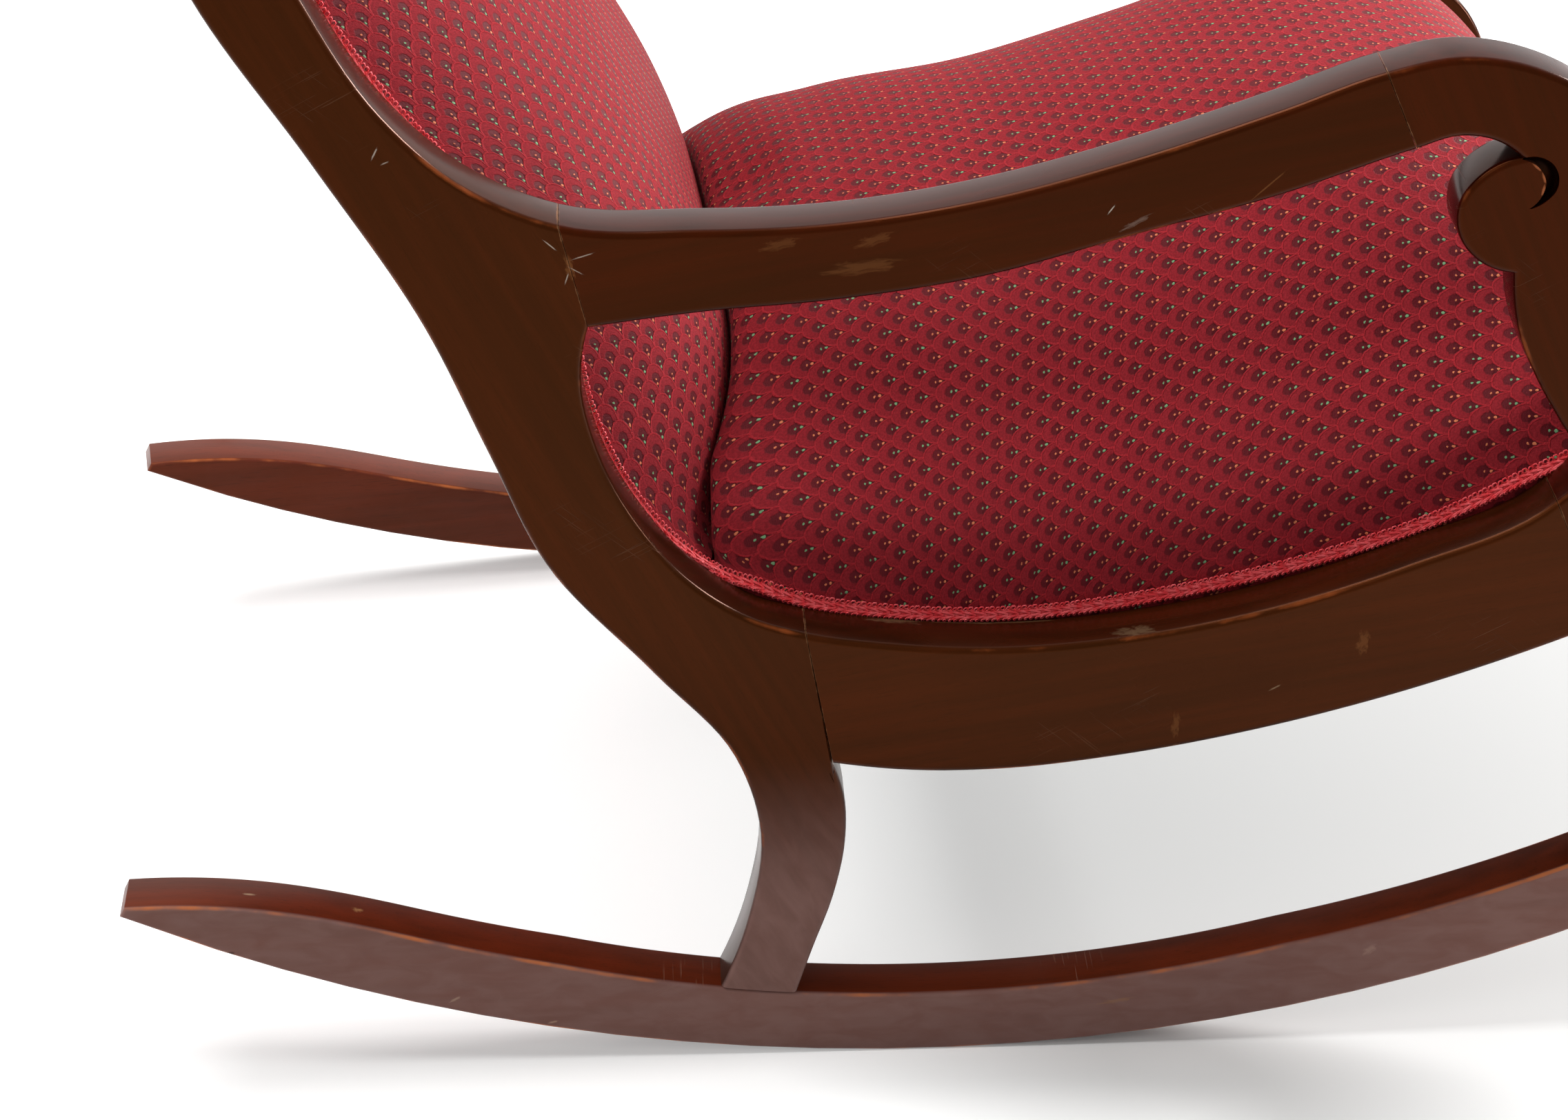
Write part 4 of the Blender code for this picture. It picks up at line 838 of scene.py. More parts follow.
@dataclass
class Board:
    """Sawn board with rounded long edges, drawn flat."""

    outline: list[Vector]
    square: list = field(default_factory=list)
    thickness: float = PLANK
    rounding: float = 0.0030
    steps: int = 4
    margin: float = 0.0006

    def __post_init__(self) -> None:
        """Drop repeated points and turn the outline anticlockwise."""
        pairs = zip(self.outline[-1:] + self.outline, self.outline)
        kept = [Vector(point) for before, point in pairs if (point - before).length > 2 * FIT_GAP]
        area = sum(here.cross(there) for here, there in zip(kept, kept[1:] + kept[:1]))
        self.outline = kept if area > 0 else kept[::-1]

    def inset(self, depth: float) -> list[Vector]:
        """The outline drawn in by a depth, except along its joints."""
        count = len(self.outline)
        lines = []
        for index, point in enumerate(self.outline):
            after = self.outline[(index + 1) % count]
            along = (after - point).normalized()
            normal = Vector((-along.y, along.x))
            held = on_any_line((point + after) / 2, self.square)
            lines.append((along, normal, 0.0 if held else depth))
        drawn = []
        for index, point in enumerate(self.outline):
            first_along, first_normal, first_depth = lines[index - 1]
            _, second_normal, second_depth = lines[index]
            spread = first_along.dot(second_normal)
            if abs(spread) < NEARLY_STRAIGHT:
                mean = (first_normal + second_normal).normalized()
                drawn.append(point + mean * 0.5 * (first_depth + second_depth))
                continue
            base = point + first_normal * first_depth
            slide = (second_depth - (base - point).dot(second_normal)) / spread
            slide = clamp(slide, -3 * depth, 3 * depth)
            drawn.append(base + first_along * slide)
        return drawn

    def levels(self) -> list[tuple[float, float, float]]:
        """Inset, height and wear of each ring of points, from one face to the other."""
        half = self.thickness / 2
        rings = [(self.rounding + self.margin, half, 0.0)]
        for step in range(self.steps + 1):
            angle = math.pi / 2 * step / self.steps
            inset = self.rounding * (1 - math.sin(angle))
            height = half - self.rounding * (1 - math.cos(angle))
            rings.append((inset, height, math.sin(2 * angle) ** 0.6 if 0 < step < self.steps else 0.25))
        return rings + [(inset, -height, wear) for inset, height, wear in reversed(rings)]

    def mesh(self, name: str, place: Callable[[float, float, float], Vector]) -> Mesh:
        """Build the closed mesh, with its flat coordinates and wear as attributes.

        Args:
            name: The mesh's name.
            place: Turns a place in the flat drawing into a world point.

        Returns:
            The mesh.
        """
        solid = bmesh.new()
        coordinates = solid.verts.layers.float_vector.new("frame")
        worn = solid.verts.layers.float.new("wear")
        rings = []
        for inset, height, wear in self.levels():
            ring = []
            for point in self.inset(inset):
                vert = solid.verts.new(place(point.x, point.y, height))
                vert[coordinates] = (point.x, point.y, height)
                vert[worn] = wear
                ring.append(vert)
            rings.append(ring)
        count = len(rings[0])
        for upper, lower in zip(rings, rings[1:]):
            for index in range(count):
                after = (index + 1) % count
                solid.faces.new((upper[index], lower[index], lower[after], upper[after]))
        solid.faces.new(rings[0])
        solid.faces.new(rings[-1][::-1])
        turn_outwards(solid)
        mesh = mesh_of(solid, name)
        mesh.shade_smooth()
        mesh.set_sharp_from_angle(angle=SHARP_ANGLE)
        return mesh


def plain_copy(made: Object, name: str) -> Mesh:
    """Mesh of an object with its modifiers applied, after which the object is removed."""
    bpy.context.view_layer.update()
    evaluated = made.evaluated_get(bpy.context.evaluated_depsgraph_get())
    mesh = bpy.data.meshes.new_from_object(evaluated)
    mesh.name = name
    bpy.data.objects.remove(made, do_unlink=True)
    return mesh


@dataclass
class SideFrame:
    """Rocker, two posts, arm and seat rail of one side."""

    side: Side
    foot_steps: int = 6
    rocker_steps: int = 150
    cap_steps: int = 24
    crescent_depth: float = 0.0062
    crescent_steps: int = 28
    marks: tuple[Mark, ...] = ()

    def foot(self, span: Flat) -> list[Vector]:
        """Sole of a leg on the rocker, from its rear to its front."""
        rear, front = span
        shares = [step / self.foot_steps for step in range(self.foot_steps + 1)]
        return [rocker_top(rear + (front - rear) * share) for share in shares]

    def rocker(self) -> Board:
        """The rocker, with its sole in flats as the solid has."""
        facet = 2 * HALF_FACET
        first = math.ceil((REAR_TIP_ANGLE - HALF_FACET) / facet) + 1
        last = math.floor((FRONT_TIP_ANGLE - HALF_FACET) / facet)
        angles = [REAR_TIP_ANGLE]
        angles += [HALF_FACET + facet * index for index in range(first, last)]
        angles.append(FRONT_TIP_ANGLE)
        sole = [rocker_point(angle, 0.0) for angle in angles]
        stations = []
        for step in range(self.rocker_steps + 1):
            even = step / self.rocker_steps
            crowded = 0.5 - 0.5 * math.cos(math.pi * even)
            share = 0.45 * crowded + 0.55 * even
            stations.append(FRONT_TIP_ANGLE + (REAR_TIP_ANGLE - FRONT_TIP_ANGLE) * share)
        upper = [rocker_point(angle, rocker_depth(angle)) for angle in stations]
        return Board(sole + upper, rounding=0.0022, margin=0.0004)

    def rear_post(self) -> Board:
        """Leg and back stile in one plank."""
        foot = self.foot(REAR_FOOT)
        outline = run(STILE_REAR + [tuple(foot[0])]) + foot[1:-1]
        outline += run([tuple(foot[-1])] + REAR_LEG_FRONT)
        outline += run(OPENING_LINE, RAIL_REAR[0], ARM_REAR[1])
        outline += run(TOP_LINE, ARM_REAR[0], TOP_LINE[0])
        centre = (Vector(TOP_LINE[0]) + Vector(STILE_REAR[0])) / 2
        arm = Vector(TOP_LINE[0]) - centre
        turns = [math.pi * step / self.cap_steps for step in range(1, self.cap_steps)]
        outline += [centre + Matrix.Rotation(turn, 2) @ arm for turn in turns]
        return Board(outline, [ARM_REAR, RAIL_REAR] + list(zip(foot, foot[1:])))

    def front_post(self) -> Board:
        """Leg, knee, arm support and scroll in one plank."""
        foot = self.foot(FRONT_FOOT)
        outline = run(TOP_LINE + [tuple(foot[-1])], ARM_FRONT[0]) + foot[-2:0:-1]
        outline += run([tuple(foot[0])] + FRONT_LEG_REAR[::-1])
        outline += run(OPENING_LINE, RAIL_FRONT[0], OPENING_LINE[0])
        outline += run(SCROLL_LINE, SCROLL_LINE[-1], SCROLL_LINE[0])[1:-1]
        outline += run(ARM_UNDER_LINE, ARM_UNDER_LINE[-1], ARM_FRONT[1])
        return Board(outline, [ARM_FRONT, RAIL_FRONT] + list(zip(foot, foot[1:])))

    def arm(self) -> Board:
        """Arm between the posts."""
        outline = shortened(run(TOP_LINE, ARM_REAR[0], ARM_FRONT[0]))
        outline += shortened(run(ARM_UNDER_LINE, ARM_FRONT[1], ARM_REAR[1]))
        return Board(outline, [ARM_REAR, ARM_FRONT])

    def seat_rail(self) -> Board:
        """Seat rail between the posts."""
        outline = shortened(run(OPENING_LINE, RAIL_REAR[0], RAIL_FRONT[0]))
        outline += shortened(run(RAIL_UNDER_LINE, RAIL_FRONT[1], RAIL_REAR[1]))
        return Board(outline, [RAIL_REAR, RAIL_FRONT])

    def carve_crescent(self, mesh: Mesh, name: str) -> Mesh:
        """The front post's mesh with the scroll's crescent cut into its outer face."""
        inner, outer = [[Vector(point) for point in line] for line in (CRESCENT_INNER, CRESCENT_OUTER)]
        face = PLANK / 2
        above = face + CUT_MARGIN
        cutter = bmesh.new()
        rings = []
        for step in range(1, self.crescent_steps):
            share = step / self.crescent_steps
            near = blend_knots(inner, share * (len(inner) - 1))
            far = blend_knots(outer, share * (len(outer) - 1))
            deep = self.crescent_depth * math.sin(math.pi * share) ** 0.6
            section = [(0.0, face - deep), (0.40, face - 0.92 * deep), (0.75, face - 0.66 * deep)]
            section += [(1.0, face - 0.20 * deep), (1.0, above), (0.0, above)]
            places = [(near.lerp(far, across), level) for across, level in section]
            rings.append([cutter.verts.new(self.side.place(*point, level)) for point, level in places])
        for before, after in zip(rings, rings[1:]):
            for index, vert in enumerate(before):
                cutter.faces.new((before[index - 1], vert, after[index], after[index - 1]))
        cutter.faces.new(rings[0])
        cutter.faces.new(rings[-1][::-1])
        turn_outwards(cutter)
        knife = linked("crescent", mesh_of(cutter, "crescent"))
        post = linked(name, mesh)
        cut = post.modifiers.new("crescent", "BOOLEAN")
        cut.operation = "DIFFERENCE"
        cut.object = knife
        carved = plain_copy(post, name)
        bpy.data.objects.remove(knife, do_unlink=True)
        self.restore_coordinates(carved)
        carved.set_sharp_from_angle(angle=SHARP_ANGLE)
        return carved

    def restore_coordinates(self, mesh: Mesh) -> None:
        """Write every point's flat coordinates again, the new points of a cut among them."""
        start = self.side.place(0, 0, 0)
        forward = self.side.place(1, 0, 0) - start
        outward = self.side.place(0, 0, 1) - start
        values = []
        for vert in mesh.vertices:
            offset = vert.co - start
            values += [offset.dot(forward), offset.z, offset.dot(outward)]
        mesh.attributes["frame"].data.foreach_set("vector", values)

    def build(self) -> None:
        """Make the side's five boards and dress them."""
        plans = [
            ("rocker", self.rocker(), 0.0, 0.7, ()),
            ("rear_post", self.rear_post(), math.radians(-62), 0.0, (ARM_REAR, RAIL_REAR)),
            ("front_post", self.front_post(), math.radians(-66), 0.0, (ARM_FRONT, RAIL_FRONT)),
            ("arm", self.arm(), math.radians(11), 0.0, (ARM_REAR, ARM_FRONT)),
            ("seat_rail", self.seat_rail(), math.radians(10), 0.1, (RAIL_REAR, RAIL_FRONT)),
        ]
        for number, (kind, board, grain, dull, joints) in enumerate(plans, start=1):
            name = f"{self.side.word}_{kind}"
            mesh = board.mesh(name, self.side.place)
            if kind == "front_post":
                mesh = self.carve_crescent(mesh, name)
            seed = number + SEED_STEP * self.side.value
            finish = Lacquer(
                f"mahogany_{name}", grain, seed, dull, DUST_TOPS.get(kind, 0.0), joints, self.marks_on(board),
                **TONES.get(kind, {}),
            )
            add_piece(f"{name}_board", mesh, finish.material(), [name])

    def marks_on(self, board: Board) -> tuple[Mark, ...]:
        """The marks that lie within reach of one board's outline."""
        lows = [min(point[axis] for point in board.outline) for axis in (0, 1)]
        highs = [max(point[axis] for point in board.outline) for axis in (0, 1)]
        kept = []
        for mark in self.marks:
            spans = zip(mark.at, lows, highs)
            if all(low - MARK_REACH < place < high + MARK_REACH for place, low, high in spans):
                kept.append(mark)
        return tuple(kept)


WARM = {"dark": (0.0125, 0.0016, 0.0003), "red": (0.0430, 0.0038, 0.0006)}
TONES = {
    "rocker": {
        "dark": (0.052, 0.0082, 0.0022), "red": (0.115, 0.0160, 0.0042), "worn": (0.52, 0.15, 0.045),
    },
    "arm": WARM,
    "front_post": WARM,
}
DUST_TOPS = {"rocker": 2.0, "rear_post": 0.19, "front_post": 0.19}
OUTER = PLANK / 2
SCUFF = (0.25, 0.100, 0.034)
PALE = (0.58, 0.50, 0.42)
SHADE = (0.003, 0.001, 0.0005)
RUBBED = (0.40, 0.125, 0.050)
NEAR_MARKS = (
    Mark((0.2420, 0.4620, OUTER), (0.0030, 0.0080, 0.004), 0.25, SCUFF, 0.45, 1.1),
    Mark((0.2330, 0.4735, OUTER), (0.0060, 0.0005, 0.004), -0.75, PALE, 0.8, 0.35),
    Mark((0.2485, 0.4675, OUTER), (0.0080, 0.0005, 0.004), 0.30, PALE, 0.65, 0.45),
    Mark((0.2450, 0.4600, OUTER), (0.0060, 0.0004, 0.004), -0.55, PALE, 0.55, 0.45),
    Mark((0.2405, 0.4560, OUTER), (0.0045, 0.0005, 0.004), 1.25, PALE, 0.70, 0.40),
    Mark((0.1352, 0.4955, 0.004), (0.0042, 0.0022, 0.012), -1.0, (0.66, 0.60, 0.45), 0.9, 0.5),
    Mark((0.1525, 0.5220, OUTER), (0.0050, 0.0006, 0.004), 1.1, PALE, 0.8, 0.5),
    Mark((0.1572, 0.5172, OUTER), (0.0030, 0.0005, 0.004), 0.4, PALE, 0.6, 0.5),
    Mark((0.3420, 0.4716, OUTER), (0.0130, 0.0034, 0.004), 0.2, SCUFF, 0.26, 0.9),
    Mark((0.3815, 0.4590, OUTER), (0.0250, 0.0046, 0.004), 0.1, SCUFF, 0.30, 0.9),
    Mark((0.3870, 0.4730, OUTER), (0.0130, 0.0034, 0.004), 0.3, SCUFF, 0.28, 0.9),
    Mark((0.4996, 0.4864, OUTER), (0.0042, 0.0005, 0.004), 0.95, PALE, 0.95, 0.3),
    Mark((0.5115, 0.4794, OUTER), (0.0110, 0.0016, 0.004), 0.5, (0.30, 0.22, 0.18), 0.40, 1.0),
    Mark((0.5742, 0.4975, OUTER), (0.0160, 0.0006, 0.004), 0.75, SCUFF, 0.50, 0.5),
    Mark((0.5441, 0.1990, OUTER), (0.0030, 0.0090, 0.004), 0.0, SCUFF, 0.28, 1.0),
    Mark((0.5422, 0.1850, OUTER), (0.0090, 0.0024, 0.004), 0.2, SCUFF, 0.45, 1.0),
    Mark((0.5938, 0.2196, OUTER), (0.0050, 0.0007, 0.004), 0.5, (0.30, 0.20, 0.12), 0.6, 0.5),
    Mark((0.6372, 0.2452, OUTER), (0.0045, 0.0085, 0.004), 0.0, SCUFF, 0.30, 1.0),
    Mark((0.6313, 0.2055, OUTER), (0.0120, 0.0022, 0.004), 0.3, SCUFF, 0.45, 1.0),
    Mark((0.5224, 0.2515, 0.0090), (0.0150, 0.006, 0.0055), 0.1, (0.20, 0.13, 0.07), 0.42, 1.0),
    Mark((0.3995, 0.2495, -0.0110), (0.0230, 0.006, 0.0040), 0.0, (0.20, 0.12, 0.06), 0.40, 1.0),
    Mark((0.4500, 0.2460, -0.0125), (0.0500, 0.006, 0.0022), 0.0, (0.20, 0.12, 0.06), 0.35, 1.2),
    Mark((0.5203, 0.0281, OUTER), (0.0130, 0.0016, 0.004), 0.15, (0.30, 0.16, 0.08), 0.45, 1.0),
    Mark((0.2369, 0.4820, 0.0), (0.0010, 0.0030, 0.016), 0.2, SCUFF, 0.7, 0.5),
    Mark((0.1222, 0.0905, 0.0000), (0.0055, 0.0040, 0.0040), -0.30, (0.42, 0.22, 0.09), 0.8, 0.4),
    Mark((0.0662, 0.1009, 0.0000), (0.0050, 0.0040, 0.0015), -0.15, (0.40, 0.26, 0.16), 0.6, 0.5),
    Mark((0.1709, 0.0406, OUTER), (0.0050, 0.0011, 0.004), 0.5, (0.40, 0.28, 0.21), 0.7, 0.6),
    Mark((0.0558, 0.0733, OUTER), (0.0030, 0.0020, 0.010), 0.0, SHADE, 0.8, 0.4),
    Mark((0.2218, 0.0243, OUTER), (0.0040, 0.0010, 0.004), 0.2, (0.44, 0.30, 0.22), 0.7, 0.5),
    Mark((0.6540, 0.0565, OUTER), (0.0060, 0.0030, 0.004), 0.6, (0.36, 0.24, 0.20), 0.4, 0.8),
    # Painted shade: two near-black ellipsoids under the outer face darken the hollow of the scroll's carved
    # crescent.
    Mark((0.7050, 0.4965, OUTER - 0.0017), (0.0300, 0.0300, 0.0020), 0.0, SHADE, 0.95, 0.05),
    Mark((0.7050, 0.4965, OUTER - 0.0045), (0.0300, 0.0300, 0.0034), 0.0, SHADE, 0.95, 0.05),
    Mark((0.7020, 0.5040, OUTER), (0.0045, 0.0010, 0.0012), -0.72, RUBBED, 0.9, 0.35),
    Mark((0.7058, 0.4985, OUTER), (0.0045, 0.0010, 0.0012), -1.25, RUBBED, 0.9, 0.35),
    Mark((0.7060, 0.4920, OUTER), (0.0045, 0.0010, 0.0012), -1.72, RUBBED, 0.9, 0.35),
)
FAR_MARKS = (
    Mark((0.3300, 0.4620, OUTER), (0.0160, 0.0040, 0.004), 0.3, SCUFF, 0.4, 0.9),
    Mark((0.5200, 0.4900, OUTER), (0.0060, 0.0008, 0.004), -0.6, PALE, 0.8, 0.4),
    Mark((0.4700, 0.2100, OUTER), (0.0140, 0.0050, 0.004), 0.2, SCUFF, 0.4, 1.0),
    Mark((0.1200, 0.6200, OUTER), (0.0050, 0.0009, 0.004), 0.9, PALE, 0.7, 0.5),
    Mark((0.6000, 0.0400, OUTER), (0.0150, 0.0030, 0.004), 0.1, SCUFF, 0.5, 1.0),
)


# Crest and coverings

def crest_lean() -> tuple[Vector, Vector]:
    """Middle of the stiles' tops, and the direction down along them."""
    top = (Vector(STILE_REAR[0]) + Vector(TOP_LINE[0])) / 2
    lower = (Vector(STILE_REAR[1]) + Vector(TOP_LINE[1])) / 2
    return top, (lower - top).normalized()


def crest_drop() -> float:
    """Distance from the stiles' tops down to the crest rail's lower edge."""
    top, down = crest_lean()
    return (Vector(BACK_ROWS[0][0]) - top).dot(down) - CREST_PAD_GAP


def crest_lap(out: float) -> Vector:
    """Place where a covering ends on the crest rail, so far forward of the rail's middle."""
    top, down = crest_lean()
    return top + down * (crest_drop() - CREST_LAP) + Vector((-down.y, down.x)) * out


@dataclass
class CrestRail:
    """Arched board between the stiles' tops."""

    def place(self, across: float, height: float, depth: float) -> Vector:
        """World point of a place on the leaning board, trimmed to the splayed frames."""
        top, down = crest_lean()
        point = top - down * height + Vector((-down.y, down.x)) * depth
        reach = inner_half_width(point.x) - FIT_GAP
        return Vector((clamp(across, -reach, reach), TIP_Y - point.x, point.y))

    def build(self) -> None:
        """Make the board and dress it."""
        half = inner_half_width(crest_lean()[0].x) + PLANK / 2
        arch = [(half, CREST_END_RISE), (half / 2, (CREST_END_RISE + 3 * CREST_RISE) / 4), (0.0, CREST_RISE)]
        arch += [(-across, height) for across, height in arch[1::-1]]
        drop = crest_drop()
        outline = run(arch) + [Vector((-half, -drop)), Vector((half, -drop))]
        board = Board(outline, thickness=CREST_THICKNESS)
        finish = Lacquer("mahogany_crest_rail", 0.0, 8.3)
        mesh = board.mesh("crest_board", self.place)
        add_piece("crest_board", mesh, finish.material(), ["crest_rail"])


def covering_rows(pairs: Sequence[tuple], count: int) -> list[tuple[Vector, Vector]]:
    """Edge and crown points of a covering, at even steps along its rows."""
    edges = [Vector(edge) for edge, _ in pairs]
    crowns = [Vector(crown) for _, crown in pairs]
    places = [(len(pairs) - 1) * index / (count - 1) for index in range(count)]
    return [(blend_knots(edges, place), blend_knots(crowns, place)) for place in places]


def side_places(columns: int) -> list[float]:
    """Places from side to side, from -1 to 1, crowded towards both edges."""
    even = [2 * column / columns - 1 for column in range(columns + 1)]
    return [math.copysign(abs(side) ** EDGE_CROWDING, side) for side in even]


def covering_grid(pairs: Sequence[tuple], rows: int, columns: int, fullness: float, power: float) -> Grid:
    """Grid of points over a pad.

    Args:
        pairs: Edge and crown of the knot rows.
        rows: Number of rows.
        columns: Number of steps from side to side.
        fullness: Share of the crown's rise.
        power: How boxy the section across is.

    Returns:
        Rows of world points.
    """
    grid = []
    for edge, crown in covering_rows(pairs, rows):
        row = []
        for side in side_places(columns):
            rise = (1 - abs(side) ** power) * fullness
            point = edge + (crown - edge) * rise
            reach = cloth_half_width(point.x)
            row.append(Vector((side * reach, TIP_Y - point.x, point.y)))
        grid.append(row)
    return grid


def grid_faces(rows: int, columns: int) -> list[tuple[int, ...]]:
    """Corners of a grid's faces, as numbers of its points."""
    corners = [row * columns + column for row in range(rows - 1) for column in range(columns - 1)]
    return [(corner, corner + 1, corner + columns + 1, corner + columns) for corner in corners]


def grid_mesh(name: str, grid: Grid) -> Mesh:
    """Surface through a grid of points."""
    mesh = bpy.data.meshes.new(name)
    mesh.from_pydata([point for row in grid for point in row], [], grid_faces(len(grid), len(grid[0])))
    mesh.update()
    return mesh


def face_grid(grid: Grid, facing: Sequence[float]) -> Grid:
    """The grid, with its rows turned round if its surface faces the wrong way."""
    mesh = grid_mesh("facing", grid)
    lean = sum((polygon.normal * polygon.area for polygon in mesh.polygons), Vector())
    bpy.data.meshes.remove(mesh)
    return grid if lean.dot(Vector(facing)) > 0 else [row[::-1] for row in grid]


def grid_normals(grid: Grid) -> Grid:
    """Surface normal at each point of a grid."""
    mesh = grid_mesh("normals", grid)
    columns = len(grid[0])
    normals = [vert.normal.copy() for vert in mesh.vertices]
    bpy.data.meshes.remove(mesh)
    return [normals[start:start + columns] for start in range(0, len(normals), columns)]


def lengths_along(row: Sequence[Vector]) -> list[float]:
    """Distance of each point of a row from its first, along the row."""
    steps = [(there - here).length for here, there in zip(row, row[1:])]
    return list(accumulate(steps, initial=0.0))


def flat_map(grid: Grid) -> list[list[Flat]]:
    """Flat coordinates of a cloth over a grid, in metres from its centre line."""
    middle = len(grid[0]) // 2
    laid = []
    along = 0.0
    for number, row in enumerate(grid):
        if number:
            along += (row[middle] - grid[number - 1][middle]).length
        places = lengths_along(row)
        laid.append([(place - places[middle], along) for place in places])
    return laid


def lay_weave(mesh: Mesh, places: Sequence[Flat]) -> None:
    """Store each point's flat coordinates as the cloth's map."""
    layer = mesh.uv_layers.new(name="weave")
    for loop in mesh.loops:
        layer.data[loop.index].uv = places[loop.vertex_index]


CLOTH_SETTINGS = {
    "quality": 6, "mass": 0.4, "tension_stiffness": 22, "compression_stiffness": 22, "shear_stiffness": 8,
    "bending_stiffness": 1.5, "vertex_group_mass": "held", "use_pressure": True,
}


def swell(grid: Grid, pressure: float, cap: float, held_rows: tuple[int, int]) -> Grid:
    """Let a cloth over a pad swell under pressure, held along its edges.

    Args:
        grid: The cloth's points, facing outwards.
        pressure: Pressure from the pad.
        cap: Furthest that a point may move.
        held_rows: Numbers of first and last rows that are tacked down.
    """
    rows, columns = len(grid), len(grid[0])
    cloth = linked("swelling", grid_mesh("swelling", grid))
    held = cloth.vertex_groups.new(name="held")
    for row in range(rows):
        tacked = row < held_rows[0] or row >= rows - held_rows[1]
        for column in range(columns):
            if tacked or column in (0, columns - 1):
                held.add([row * columns + column], 1.0, "REPLACE")
    modifier = cloth.modifiers.new("cloth", "CLOTH")
    settings = modifier.settings
    for setting, value in CLOTH_SETTINGS.items():
        setattr(settings, setting, value)
    settings.uniform_pressure_force = pressure
    settings.effector_weights.gravity = 0.0
    modifier.point_cache.frame_start = 1
    modifier.point_cache.frame_end = CLOTH_FRAMES
    scene = bpy.context.scene
    for number in range(1, CLOTH_FRAMES + 1):
        scene.frame_set(number)
    evaluated = cloth.evaluated_get(bpy.context.evaluated_depsgraph_get())
    moved = [vert.co.copy() for vert in evaluated.data.vertices]
    bpy.data.objects.remove(cloth, do_unlink=True)
    scene.frame_set(1)
    swollen = []
    starts = [point for row in grid for point in row]
    furthest = max((there - here).length for there, here in zip(moved, starts))
    LOG.info("cloth swelled by up to %.1f mm", 1000 * furthest)
    for number, row in enumerate(grid):
        line = []
        for column, start in enumerate(row):
            shift = moved[number * columns + column] - start
            if shift.length > cap:
                shift = shift.normalized() * cap
            point = start + shift
            reach = cloth_half_width(TIP_Y - point.y)
            point.x = clamp(point.x, -reach, reach)
            line.append(point)
        swollen.append(line)
    return swollen


def tucked(grid: Grid, drop: float) -> Grid:
    """The grid with one more point at both ends of each row, tucked down beside the frame."""
    down = Vector((0, 0, -drop))
    return [[row[0] + down] + row + [row[-1] + down] for row in grid]


def closed_pad(name: str, front: Grid, rear: Grid, places: list[list[Flat]]) -> Mesh:
    """Closed pad between two grids with as many rows and columns, with its weave laid out."""
    rows, columns = len(front), len(front[0])
    points = [point for grid in (front, rear) for row in grid for point in row]
    shift = rows * columns
    faces = []
    for quad in grid_faces(rows, columns):
        faces.append(quad)
        faces.append(tuple(index + shift for index in reversed(quad)))
    rim = list(range(columns))
    rim += [row * columns + columns - 1 for row in range(1, rows)]
    rim += [(rows - 1) * columns + column for column in range(columns - 2, -1, -1)]
    rim += [row * columns for row in range(rows - 2, 0, -1)]
    for here, there in zip(rim, rim[1:] + rim[:1]):
        faces.append((there, here, here + shift, there + shift))
    mesh = bpy.data.meshes.new(name)
    mesh.from_pydata(points, [], faces)
    mesh.update()
    flat = [place for row in places for place in row]
    lay_weave(mesh, flat + flat)
    mesh.shade_smooth()
    return mesh


def add_thickness(made: Object, thickness: float, offset: float) -> None:
    """Give a sheet its thickness, to one side or about its middle."""
    solid = made.modifiers.new("thickness", "SOLIDIFY")
    solid.thickness = thickness
    solid.offset = offset


def smooth_levels(made: Object, levels: int) -> None:
    """Finish a piece with a subdivision surface."""
    rounder = made.modifiers.new("rounder", "SUBSURF")
    rounder.levels = levels
    rounder.render_levels = levels


